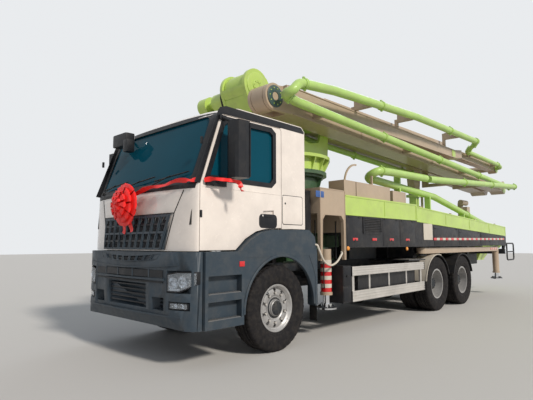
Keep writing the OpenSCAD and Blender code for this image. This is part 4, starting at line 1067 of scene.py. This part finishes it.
def bow():
    """A rosette of ribbon loops, with tails, and a ribbon to the door's mirror."""
    p = Piece("ribbon_rosette", CLOTH, "truck", 60)
    rnd = random.Random(11)
    centre = Vector((1478, -30, 1830))
    thick = Vector((1.6, 0, 0))
    # Layers of loops: count, length, and place ahead of the rosette's back
    layers = ((14, 262, 10), (12, 220, 58), (10, 165, 104), (7, 100, 138))
    for layer, (count, reach, lift) in enumerate(layers):
        for i in range(count):
            t = math.tau * (i + 0.5 * (layer % 2)) / count + rnd.uniform(-0.12, 0.12)
            out = Vector((0, math.cos(t), math.sin(t)))
            side = Vector((0, -math.sin(t), math.cos(t)))
            half = reach * 0.24 * rnd.uniform(0.85, 1.15)
            rings = []
            for k in range(13):
                a = math.pi * k / 12
                r = reach * (0.12 + 0.88 * math.sin(a) ** (0.8 if a < math.pi / 2 else 0.6))
                x = (k / 12 - 0.15) * 58 * rnd.uniform(0.9, 1.1)
                mid = centre + out * r + Vector((lift + x - 20, 0, 0))
                wide = half * (0.25 + 0.75 * math.sin(a))
                curl = Vector((7 * math.sin(a), 0, 0))
                rings.append([mid - side * wide + curl, mid - side * wide * 0.4 - curl,
                              mid + side * wide * 0.4 - curl, mid + side * wide + curl,
                              mid + side * wide + curl + thick + out * 1.5,
                              mid - side * wide + curl + thick + out * 1.5])
            p.solid(rings)
    for ang, length in ((-1.9, 330), (-1.35, 300)):
        out = Vector((0, math.cos(ang), math.sin(ang)))
        side = Vector((0, -math.sin(ang), math.cos(ang)))
        rings = []
        for k in range(12):
            mid = centre + out * (40 + length * k / 11) + Vector((-40 + 9 * math.sin(k * 1.1), 0, 0))
            w = 34 + 4 * math.sin(k)
            rings.append([mid - side * w, mid + side * w, mid + side * w + thick, mid - side * w + thick])
        p.solid(rings)
    p.lathe(centre + Vector((110, 0, 0)), (1, 0, 0), [(0, -60), (40, -50), (52, 0), (40, 34), (0, 44)], 16)
    p.done()
    ribbon("ribbon_tie", "truck", [(1405, 60, 1960), (1395, 330, 2030), (1385, 620, 2012), (1370, 860, 2062),
                                   (1330, 1050, 2046), (1300, 1130, 2050)])
    ribbon("ribbon_end", "door_left", [(1216, 1174, 2050), (1150, 1240, 2066), (1040, 1340, 2052),
                                       (960, 1410, 2040), (900, 1440, 2010), (930, 1446, 1960),
                                       (880, 1440, 1930)])


def ribbon(name, body, route):
    """A flat ribbon that twists along its way."""
    r = Piece(name, CLOTH, body, 60)
    pts = smooth_path([Vector(q) for q in route], 6)
    rings = []
    for i, q in enumerate(pts):
        d = (pts[min(i + 1, len(pts) - 1)] - pts[max(i - 1, 0)]).normalized()
        side = d.cross(Vector((1, 0.4, 0))).normalized()
        side = Matrix.Rotation(math.sin(i * 0.42) * 0.9, 3, d) @ side
        n = side.cross(d).normalized()
        w = 24 + 7 * math.sin(i * 0.7)
        rings.append([q - side * w, q + side * w, q + side * w + n * 2, q - side * w + n * 2])
    r.solid(rings)
    r.done()


def front_mirror():
    m = Piece("front_mirror", PLASTIC)
    m.box((1110, -860, 2700), (1250, -500, 2880), 26)
    m.box((1140, -560, 2600), (1260, -440, 2780), 30)
    m.tube([(1010, -900, 2915), (1080, -860, 2890), (1150, -760, 2850)], 18, 8, 3)
    m.tint(CHROME).box((1104, -845, 2715), (1112, -515, 2865), 2)
    m.done()


def cab_inside():
    p = Piece("dash_papers", CREAM)
    for y0, y1, x0, turn in ((-420, -190, 1030, 4), (-120, 40, 1080, -6), (330, 480, 1100, 3)):
        rings = []
        for k in range(7):
            t = k / 6
            y = y0 + (y1 - y0) * t
            z = 1998 + 6 * math.sin(math.pi * t)
            x, x1 = x0 + turn * t, x0 + 150 + turn * t
            rings.append([(x, y, z), (x1, y, z - 9), (x1, y, z - 7), (x, y, z + 2)])
        p.solid(rings)
    p.done()


for make in (cab_skin, windscreen_band, wipers, hood_flap, hood_gaps, grille_front, smooth_bumper,
             bumper_trim, lamp_units):
    make()
both_sides(door_trim)
both_sides(cab_band, cab_hatch, step_treads, arch_lip)
bow()
cab_inside()
front_mirror()

# DELIVERY LINES

# By node: each run's corners, radius, and bending radius at the corners between
PIPE_RUNS = {
    "pipe_1": [
        ([(-1300, 110, 3322), (-1300, 110, 3240), (-5800, 110, 3060), (-5800, 900, 2780),
          (-5800, 1170, 2742)], 58, [62, 150, 400]),
        ([(-4640, 1170, 2665), (-10650, 1170, 3062), (-10900, 1170, 3080), (-10900, 1095.5, 3080)], 70,
         [400, 74.5])],
    "pipe_2": [
        ([(-10900, 1094.5, 3080), (-10900, 1020, 3080), (-10650, 1020, 3062), (-560, 1020, 3388),
          (-300, 1020, 3440), (-300, 1094.5, 3440)], 70, [74.5, 400, 400, 74.5])],
    "pipe_3": [
        ([(-300, 1095.5, 3440), (-300, 1170, 3440), (-460, 1170, 3600), (-1320, 1170, 3700),
          (-4200, 1170, 3880), (-7570, 1170, 3950)], 70, [74.5, 230, 400, 400]),
        ([(-7590, 1170, 3950), (-7700, 1170, 3950), (-7900, 820, 3789), (-10600, 820, 3760),
          (-10800, 820, 3700), (-10800, 690, 3700)], 58, [150, 150, 400, 65])],
    "pipe_4": [
        ([(-10800, -555, 3700), (-10800, -620, 3700), (-10500, -620, 3680), (-700, -620, 3680),
          (-420, -620, 3660)], 58, [62, 400, 400])],
    "pipe_5": [
        ([(-420, -925, 3660), (-420, -990, 3660), (-700, -990, 3690), (-10350, -990, 3690)], 58,
         [63.5, 400])],
    "deck_pipe": [
        ([(-9950, 650, 1250), (-9950, 950, 1250), (-9950, 950, 1630), (-9300, 950, 1752), (-5390, 950, 2370),
          (-3000, 950, 2480), (-2560, 950, 2500), (-2560, 1170, 2600), (-3000, 1170, 2625),
          (-4500, 1170, 2668)], 70, [180, 180, 400, 400, 400, 110, 110, 400])],
}


def knee(a, b, c, bend):
    """Length that a bend of the given radius takes off each of its two straight runs."""
    u, v = (b - a).normalized(), (c - b).normalized()
    return bend * math.tan(u.angle(v, 0) / 2)


def coupling(p, at, along, r):
    """A two-part clamp with its lugs and bolt round a pipe's joint."""
    u = Vector(along).normalized()
    profile = ((1, 0), (12, 2), (15, 8), (15, 16), (8, 22), (8, 32), (15, 38), (15, 46), (12, 52), (1, 54),
               (-3, 27))
    p.lathe(Vector(at) - u * 27, u, [(r + dr, h) for dr, h in profile], 28, True)
    side = u.cross(Vector((0, 0, 1))).normalized()
    if side.y < 0:
        side = -side
    up = side.cross(u).normalized()
    for s in (1, -1):
        lug = Vector(at) + up * (s * (r + 20))
        rot = Matrix((u, side, up)).transposed().to_4x4()
        rot.translation = lug
        p.box((-18, -12, -14), (18, 12, 14), 3, rot)
        p.bar(lug - side * 24, lug + side * 24, 6, 6)


# Couplings: the shortest run that has any, how far they lie off a bend, the longest stretch without one,
# and the least bend in radians that has them
SHORTEST_RUN, OFF_BEND, STRETCH, LEAST_BEND = 90, 30, 2600, 0.25


def couplings():
    for node, runs in PIPE_RUNS.items():
        body = "truck" if node == "deck_pipe" else "arm_" + node[-1]
        p = Piece("couplings_" + node, PIPE, body)
        for pts, r, bends in runs:
            pts = [Vector(q) for q in pts]
            last = len(pts) - 1
            for i in range(last):
                a, b = pts[i], pts[i + 1]
                u = (b - a).normalized()
                t0 = 0 if i == 0 else knee(pts[i - 1], a, b, bends[i - 1])
                t1 = 0 if i == last - 1 else knee(a, b, pts[i + 2], bends[i])
                span = (b - a).length - t0 - t1
                if span < SHORTEST_RUN:
                    continue
                if i > 0 and (a - pts[i - 1]).angle(u) > LEAST_BEND:
                    coupling(p, a + u * (t0 + OFF_BEND), u, r)
                if i < last - 1 and u.angle(pts[i + 2] - b) > LEAST_BEND:
                    coupling(p, b - u * (t1 + OFF_BEND), u, r)
                count = int(span // STRETCH)
                for k in range(count):
                    coupling(p, a + u * (t0 + span * (k + 1) / (count + 1)), u, r)
        p.done()


couplings()


# DECK AND CHASSIS

def edge_strip(piece, a, b, y0, y1, drop):
    """A strip of height drop under the line from a to b in X and Z, or over it where drop is negative."""
    piece.slab([a, b, (b[0], b[1] - drop), (a[0], a[1] - drop)], y0, y1)


def stripes(piece, count, first, second):
    """Yields a number for each stripe and sets its colour in turn."""
    for k in range(count):
        piece.tint(second if k % 2 else first)
        yield k


# Side panels: the place where they start to fall towards the tail, and their sloping edges from there
FALL_X = -3860
LIME_TOP = ((FALL_X, 2060), (-9430, 1810))
LIME_LOW = ((FALL_X, 1786), (-9430, 1576))
BLACK_TOP = ((FALL_X, 1755), (-9430, 1545))
REFLECTORS = ((-4070, 1436), (-9175, 1469))


def panel_rims(side, s):
    """Rims of the lime panels, pressed from the sheet, and holders along the upper edge."""
    u = Piece("panel_rims_" + side, LIME)
    lo, hi = sorted((s * 1238, s * 1247))
    for a, b, drop in (((-1450, 2090), (FALL_X, 2090), 26), (*LIME_TOP, 26),
                       ((-1450, 1806), (FALL_X, 1806), 24), (*LIME_LOW, 24)):
        edge_strip(u, a, b, lo, hi, drop)
    for x in (-1452, -2655, -3846, -3884, -5270, -6660, -8050, -9406):
        top, low = 2064, 1808
        if x <= FALL_X:
            top, low = along_line(*LIME_TOP, x) - 22, along_line(*LIME_LOW, x)
        u.box((x - 14, lo, low - 4), (x + 10, hi - 1, top + 4))
    # Holders along the upper edge
    u.tint(TAUPE)
    for x in (-4100, -5600, -7100, -8600):
        z = along_line(*LIME_TOP, x)
        u.box((x - 30, s * 1196, z - 4), (x + 30, s * 1228, z + 26), 4)
    u.done()


def black_panels(side, s):
    """Louvred vent and doors of the boxes."""
    face = beside(s, PANEL_Y)
    w = Piece("panel_black_" + side, BLACK)
    # Louvred vent
    ring_plate(w, rounded(-2524, 1506, -1936, 1772, 14, 3), rounded(-2500, 1528, -1960, 1752, 8, 3), face,
               -2, 12)
    w.tint(HOSE).box((-2500, s * 1238, 1528), (-1960, s * 1242, 1752), 1)
    w.tint(BLACK)
    for k in range(8):
        z = 1532 + k * 27.5
        louvre = ((1241, z + 20), (1254, z + 2), (1252, z - 1), (1241, z + 16))
        w.solid([[(x, s * y, h) for y, h in louvre] for x in (-2498, -1962)])
    # Doors of the boxes: rims, locks and hinges
    for x0, x1 in ((-1920, -1470), (-3140, -2560), (-3760, -3180), (-5900, -4620), (-7300, -5960),
                   (-8700, -7360)):
        z0, z1 = (1764 if x > FALL_X else along_line(*BLACK_TOP, x) - 14 for x in (x0, x1))
        cushion(w, [(x0 + 8, 1310), (x1 - 8, 1310), (x1 - 8, z1), (x0 + 8, z0)], face, -2, 5, 8)
        w.tint(HOSE).knob(((x0 + x1) / 2, s * 1245, 1400), (0, s, 0), 20, 4, 13, 6)
        w.tint(BLACK)
        z = min(z0, z1) - 8
        for x in (x0 + 80, x1 - 80):
            w.bar((x - 35, s * 1249, z), (x + 35, s * 1249, z), 7, 10)
    w.done()


def reflectors(side, s):
    r = Piece("reflectors_" + side, RED)
    for k in stripes(r, 31, RED, CREAM):
        x = -4600 - 150 * k
        z = along_line(*REFLECTORS, x)
        r.box((x - 148, s * 1244, z - 24), (x - 2, s * 1248.5, z + 24), 1)
    r.tint(RED)
    for x in (-1700, -2280, -2860, -3460):
        r.box((x - 70, s * 1244, 1398), (x + 70, s * 1248.5, 1438), 1)
    r.tint(AMBER)
    for x, z in ((-1500, 1279), (-3428, 1256)):
        r.lathe((x, s * 1236, z), (0, s, 0), [(0, 0), (34, 0), (34, 8), (26, 18), (0, 22)], 20)
    r.done()


def blank_sign(side, s):
    face = beside(s, PANEL_Y)
    c = Piece("blank_sign_" + side, CREAM)
    cushion(c, rounded(-4550, 1420, -4140, 1740, 20), face, 4, 9, 4)
    c.tint(ALU)
    for x in (-4520, -4170):
        for z in (1450, 1710):
            c.lathe((x, s * 1249, z), (0, s, 0), [(0, 0), (9, 0), (8, 3), (0, 4)], 10)
    c.done()


def guard_profiles(side, s):
    g = Piece("guard_profiles_" + side, ALU)
    for z0, z1 in ((860, 1000), (470, 630)):
        for k in range(4):
            z = z0 + 6 + k * (z1 - z0 - 30) / 3
            g.box((-4118, s * 1239, z), (-1592, s * 1246, z + 18))
        g.tint(PLASTIC)
        for x in (-4124, -1596):
            g.box((x, s * 1203, z0 - 3), (x + 10, s * 1248, z1 + 3), 2)
        g.tint(ALU)
        for x in (-1680, -4040):
            g.bolts((x, s * 1246, (z0 + z1) / 2), (0, s, 0), 18, 2, 7, 5)
    g.done()


def mudguard_skins(side, s):
    m = Piece("mudguard_skins_" + side, CREAM)
    section = ((586.5, 700), (586.5, 1226), (583, 1240), (592, 1243), (598, 1240), (598, 1226),
               (591, 1220), (591, 700))
    m.round_axle(MID_AXLE_X, s, section, [math.radians(8 + 98 * k / 36) for k in range(37)])
    m.done()


def chassis_fittings(side, s):
    b = Piece("chassis_fittings_" + side, PLASTIC)
    # Ribs of the tread plate
    b.tint(ALU)
    for x in range(-4180, -3508, 42):
        b.box((x, s * 900, 1050), (x + 20, s * 1230, 1055), 1.5)
    # Back of the recess behind the front leg's end, and the pale hose under it
    b.tint(PLASTIC)
    for x0, x1 in ((-880, -870), (-1392, -1380)):
        b.box((x0, s * 1090, 1120), (x1, s * 1104, 1690))
    b.tint(CREAM).tube([(-700, s * 1222, 1340), (-720, s * 1252, 1330), (-860, s * 1254, 1100),
                        (-1028, s * 1254, 1030), (-1190, s * 1254, 1080), (-1325, s * 1252, 1210),
                        (-1345, s * 1224, 1226)], 15, 12, 8)
    b.done()


def cover_trim(side, s):
    t = Piece("cover_trim_" + side, TAUPE)
    face = beside(s, PANEL_Y)
    ring_plate(t, [(-812, 1112), (-812, 2146), (-1443, 2146), (-1443, 1112), (-1402, 1112), (-1392, 1692),
                   (-1332, 1764), (-928, 1764), (-868, 1692), (-848, 1112)],
               [(-824, 1130), (-824, 2134), (-1431, 2134), (-1431, 1130), (-1420, 1130), (-1408, 1698),
                (-1340, 1782), (-920, 1782), (-852, 1698), (-838, 1130)], face, -2, 5)
    t.tint(BLUE)
    cushion(t, rounded(-905, 2005, -715, 2095, 10), face, -1, 4, 3)
    t.done()


def tank_fittings():
    k = Piece("tank_fittings", ALU)
    for x in (-2250, -2900, -3550):
        ring_plate(k, rect(598, 448, 1152, 952), rect(601, 451, 1149, 949),
                   lambda y, z, off, x=x: (x + off, y, z), -24, 24)
    k.tint(HOSE).lathe((-2080, 1060, 946), (0, 0, 1), [(0, 0), (52, 0), (52, 26), (44, 36), (0, 38)], 28)
    k.done()


def end_box(side, s):
    e = Piece("end_box_" + side, PLASTIC)
    for z0, z1 in ((486, 700), (716, 1004)):
        cushion(e, rounded(-1568, z0, -1372, z1, 18), beside(s, 1235), -2, 6, 8)
    e.tint(HOSE).box((-1500, s * 1240, 850), (-1440, s * 1252, 880), 5)
    e.done()


def jack_bands(side, s):
    j = Piece("jack_bands_" + side, RED, "leg_front_" + side, 40)
    x, y = FRONT_JACK
    for k in stripes(j, 8, RED, CREAM):
        j.lathe((x, s * y, 648 + 58 * k), (0, 0, 1),
                [(79, 0), (82, 0.5), (82, 57.5), (79, 58), (78, 29)], 40, True)
    j.tint(HOSE).tube([(-1108, s * 1080, 1080), (-1080, s * 1090, 1000), (-1086, s * 1088, 760),
                       (-1108, s * 1080, 700)], 9)
    j.done()


def feet(side, s):
    """Gussets and edges of both jacks' feet on a side."""
    for end, (x, y) in (("front", FRONT_JACK), ("rear", REAR_JACK)):
        f = Piece("foot_%s_%s" % (end, side), DARK, "jack_%s_%s" % (end, side))
        f.lathe((x, s * y, 421), (0, 0, 1), [(84, 0), (150, 0), (150, 3), (120, 10), (86, 14)], 40, True)
        for t in circle(6):
            c, d = math.cos(t), math.sin(t)
            q = Vector((-d * 5, c * 5, 0))
            rings = []
            for r, z, high in ((82, 430, 46), (142, 424, 4)):
                a, up = Vector((x + r * c, s * y + r * d, z)), Vector((0, 0, high))
                rings.append([a - q, a + q, a + q + up, a - q + up])
            f.solid(rings)
        f.done()


def rear_leg_trim(side, s):
    r = Piece("rear_leg_trim_" + side, TAUPE, "leg_rear_" + side)
    for x in (-5400, -6700, -8000):
        r.box((x - 14, s * 1004, 1147), (x + 14, s * 1176, 1268))
    for k in stripes(r, 8, RED, CREAM):
        x = -8300 - k * 70
        r.box((x - 68, s * 1174, 1180), (x - 2, s * 1178, 1235), 1)
    r.done()


both_sides(panel_rims, black_panels, reflectors, blank_sign)
both_sides(guard_profiles, mudguard_skins, chassis_fittings, cover_trim)
tank_fittings()
both_sides(end_box)
both_sides(jack_bands, feet, rear_leg_trim)

# BOOM

def pin(arm, y):
    """The place at y on the line of the pin that carries an arm."""
    x, z = PINS[arm - 1]
    return (x, y, z)


def cap(piece, at, s, r, count=8):
    """A pin's cap with its keeper ring and bolts, facing along Y."""
    x, y, z = at
    profile = [(0, 0), (r, 0), (r, 10), (r - 8, 16), (r * 0.5, 17), (r * 0.46, 10), (0, 10)]
    piece.lathe(at, (0, s, 0), profile, 40)
    piece.bolts((x, y + s * 15, z), (0, s, 0), r * 0.76, count, 8, 9)


def gussets(piece, outline, count, half):
    """Upright plates set round the slewing axis, from an outline of (distance from it, height)."""
    for i in range(count):
        a = math.tau * (i + 0.5) / count
        c, d = math.cos(a), math.sin(a)
        q = Vector((-d * half, c * half, 0))
        ring = [Vector((SLEW_X + r * c, r * d, z)) for r, z in outline]
        piece.solid([[p - q for p in ring], [p + q for p in ring]])


def turret_trim():
    t = Piece("turret_gussets", LIME, "turret")
    gussets(t, [(658, 2560), (668, 2552), (752, 2722), (752, 2739), (658, 2739)], 20, 7)
    t.bolts((SLEW_X, 0, 2792), (0, 0, 1), 730, 40, 11, 10)
    # Edge strips, bosses and pin caps on the cheeks
    for y, s in ((385, 1), (-165, -1)):
        t.tint(LIME)
        edge_strip(t, (-2195, 2812), (-770, 2812), y, y + s * 10, 22)
        t.lathe(pin(1, y), (0, s, 0), [(95, 0), (205, 0), (205, 9), (196, 13), (95, 13)], 48, True)
        cap(t, pin(1, y + s * 10), s, 92)
        t.tint(TAUPE)
        cap(t, (LIFT_FOOT[0], y + s * 87, LIFT_FOOT[2]), s, 60, 6)
    t.done()


def ring_bolts():
    b = Piece("ring_bolts", GREEN)
    b.bolts((SLEW_X, 0, 2540), (0, 0, 1), 682, 60, 10, 5)
    b.bolts((SLEW_X, 0, 2430), (0, 0, 1), 600, 48, 12, 10)
    gussets(b, [(558, 2180), (566, 2180), (636, 2420), (636, 2439), (558, 2439)], 8, 8)
    b.done()


def turret_hoses():
    h = Piece("turret_hoses", HOSE, "turret")
    lanes = [-60 + 62 * k for k in range(5)]
    for k, y in enumerate(lanes):
        h.tube([(-800, y, 3078), (-690, y, 3180), (-520 - 20 * k, y, 3330), (-380, y, 3452),
                (-250, y, 3560)], 15, 8)
    for y in (-200, -220, -240, -260):
        h.tube([(-900, y + 60, 2830), (-760, y, 2900), (-560, y, 3130), (-330, y, 3400), (-230, y - 10, 3700),
                (-330, y - 10, 3900), (-470, y + 30, 3960)], 14, 8)
    h.tint(ALU)
    for y in lanes:
        h.bar((-800, y, 3078), (-770, y, 3106), 20, 12)
    h.done()


def cylinder_trim():
    c = Piece("lift_glands", LIME, "lift_barrels")
    a, b = Vector(LIFT_FOOT), Vector((-5000, 0, 3350))
    u = (b - a).normalized()
    for y in (-185, 405):
        def at(along, up=0, y=y):
            return a + Vector((0, y, 0)) + u * along + Vector((0, 0, up))
        gland = [(65, 0), (70, 4), (70, 66), (66, 74), (66, 78), (42, 79.5), (42, 60), (64, 55)]
        c.lathe(at(2500), u, gland, 32, True)
        c.lathe(at(170), u, [(64, 0), (72, 4), (72, 40), (64, 44), (60, 22)], 32, True)
        c.tint(HOSE).tube([at(300, 72), at(900, 78), at(2300, 78), at(2440, 70)], 8, 8)
        c.tint(LIME)
    c.done()


def flanges(piece, bands, drop, top, *low):
    """Strips along an arm's upper edge and over its lower edges, on each of its faces."""
    for y0, y1 in bands:
        edge_strip(piece, *top, y0, y1, drop)
        for line in low:
            edge_strip(piece, *line, y0, y1, -drop)


def first_arm():
    a = Piece("arm_1_trim", TAUPE, "arm_1")
    flanges(a, ((318, 332), (-112, -98)), 20, ((-1100, 3782), (-10700, 3291)),
            ((-10700, 2965), (-6450, 3123)), ((-5950, 3140), (-2700, 3257)))
    for x in (-3500, -6200, -8800):
        top = along_line((-560, 3930), (-10900, 3280), x) - 60
        low = along_line((-1000, 3340), (-10900, 2880), x) + 60
        a.box((x - 12, 320, max(low, 3150)), (x + 12, 328, top), 2)
    a.tint(LIME).collar(pin(1, -98), (0, -1, 0), 64, 150, 6)
    a.done()


def first_arm_hoses():
    h = Piece("arm_1_hoses", HOSE, "arm_1")
    for y in range(150, 281, 26):
        h.tube([(-560, y, 3945), (-1100, y, 3796), (-3000, y, 3698), (-6000, y, 3545), (-9000, y, 3392),
                (-10500, y, 3318)], 10, 8, 3)
    h.tint(TAUPE)
    for x in (-1500, -3000, -4500, -6000, -7500, -9000):
        z = along_line((-1100, 3780), (-10900, 3280), x)
        for z0, z1 in ((z - 2, z + 6), (z + 24, z + 30)):
            h.box((x - 22, 130, z0), (x + 22, 310, z1), 2)
    h.done()


def second_arm():
    """Strips, and the plates of both its joints."""
    b = Piece("arm_2_trim", TAUPE, "arm_2")
    flanges(b, ((848, 864), (476, 492)), 18, ((-700, 3408), (-10600, 3218)), ((-700, 3256), (-10600, 2956)))
    for x in (-2600, -5600, -8600):
        top = along_line((-600, 3410), (-10750, 3215), x) - 16
        low = along_line((-600, 3258), (-10700, 2952), x) + 16
        b.box((x - 10, 850, low), (x + 10, 857, top), 2)
    # The joint plates take the dark teal of painted shade
    b.tint(SHADE_TEAL)
    b.lathe(pin(3, 850), (0, 1, 0), [(64, 0), (160, 0), (160, 12), (152, 16), (64, 16)], 48, True)
    b.lathe(pin(3, 490), (0, -1, 0), [(0, 0), (160, 0), (160, 12), (0, 14)], 48)
    b.tint(LIME)
    b.lathe(pin(2, 850), (0, 1, 0), [(64, 0), (170, 0), (170, 10), (64, 14)], 48, True)
    b.bolts(pin(3, 866), (0, 1, 0), 120, 10, 9, 8)
    b.done()


def third_arm():
    """Strips, and the web under the high pipe."""
    c = Piece("arm_3_trim", TAUPE, "arm_3")
    flanges(c, ((848, 862), (478, 492)), 16, ((-600, 3680), (-6940, 3680)), ((-600, 3455), (-6940, 3480)))
    c.slab([(-1500, 3674), (-1700, 3785), (-6700, 3850), (-6930, 3674)], 510, 700, 4)
    flanges(c, ((678, 690),), 14, ((-7900, 3800), (-10600, 3800)), ((-7900, 3600), (-10600, 3600)))
    c.tint(LIME)
    c.slab([(-6800, 3500), (-6800, 3660), (-6930, 3676), (-7000, 3640), (-7000, 3520), (-6930, 3484)],
           850, 862, 4)
    c.collar(pin(4, 690), (0, 1, 0), 92, 140, 12)
    c.done()


def fourth_arm():
    d = Piece("arm_4_trim", LIME, "arm_4")
    flanges(d, ((-552, -540), (-290, -278)), 14, ((-600, 3780), (-10400, 3780)),
            ((-960, 3579), (-10350, 3560)))
    d.collar(pin(4, -290), (0, 1, 0), 98, 130, 8)
    d.done()


def fifth_arm():
    e = Piece("arm_5_trim", LIME, "arm_5")
    flanges(e, ((-912, -900), (-700, -688)), 12, ((-760, 3769), (-10150, 3730)),
            ((-760, 3561), (-10150, 3640)))
    e.done()


def tip_clamp():
    hose = Piece("tip_hose_clamp", ALU, "arm_5")
    coupling(hose, (-10180, -990, 3690), (1, 0, 0), 58)
    hose.done()


for make in (turret_trim, ring_bolts, turret_hoses, cylinder_trim, first_arm, first_arm_hoses, second_arm,
             third_arm, fourth_arm, fifth_arm, tip_clamp):
    make()

# LIGHT AND FLOOR

def stage_set():
    me = bpy.data.meshes.new("floor")
    half = 60
    me.from_pydata([(x, y, 0) for x, y in rect(-half, -half, half, half)], [], [(0, 1, 2, 3)])
    o = added("floor", me)
    m, nt, b = principled("floor")
    b.inputs["Base Color"].default_value = (0.55, 0.53, 0.50, 1)
    b.inputs["Roughness"].default_value = 0.9
    dress(o, m)
    w = bpy.data.worlds.new("world")
    bpy.context.scene.world = w
    w.use_nodes = True
    nt = w.node_tree
    sky = nt.nodes["Background"]
    sky.inputs["Color"].default_value = (0.80, 0.88, 1.0, 1)
    sky.inputs["Strength"].default_value = 0.40
    pale = nt.nodes.new("ShaderNodeBackground")
    pale.inputs["Color"].default_value = (0.86, 0.88, 0.90, 1)
    pale.inputs["Strength"].default_value = 0.95
    rays = nt.nodes.new("ShaderNodeLightPath")
    fac = rays.outputs["Is Camera Ray"]
    for other in ("Is Glossy Ray", "Is Transmission Ray"):
        most = nt.nodes.new("ShaderNodeMath")
        most.operation = "MAXIMUM"
        nt.links.new(fac, most.inputs[0])
        nt.links.new(rays.outputs[other], most.inputs[1])
        fac = most.outputs[0]
    mix = nt.nodes.new("ShaderNodeMixShader")
    nt.links.new(fac, mix.inputs[0])
    nt.links.new(sky.outputs[0], mix.inputs[1])
    nt.links.new(pale.outputs[0], mix.inputs[2])
    nt.links.new(mix.outputs[0], nt.nodes["World Output"].inputs["Surface"])
    for name, direction, energy, angle, colour in (
            ("key", (-0.10, -0.92, -0.66), 2.9, 8, (1.0, 0.95, 0.88)),
            ("fill", (0.7, 0.4, -0.5), 0.35, 30, (0.85, 0.92, 1.0))):
        d = bpy.data.lights.new(name, "SUN")
        d.energy = energy
        d.angle = math.radians(angle)
        d.color = colour
        lamp = added(name, d)
        lamp.rotation_mode = "QUATERNION"
        lamp.rotation_quaternion = Vector(direction).to_track_quat("-Z", "Y")
    bpy.context.scene.view_settings.view_transform = "Standard"


stage_set()
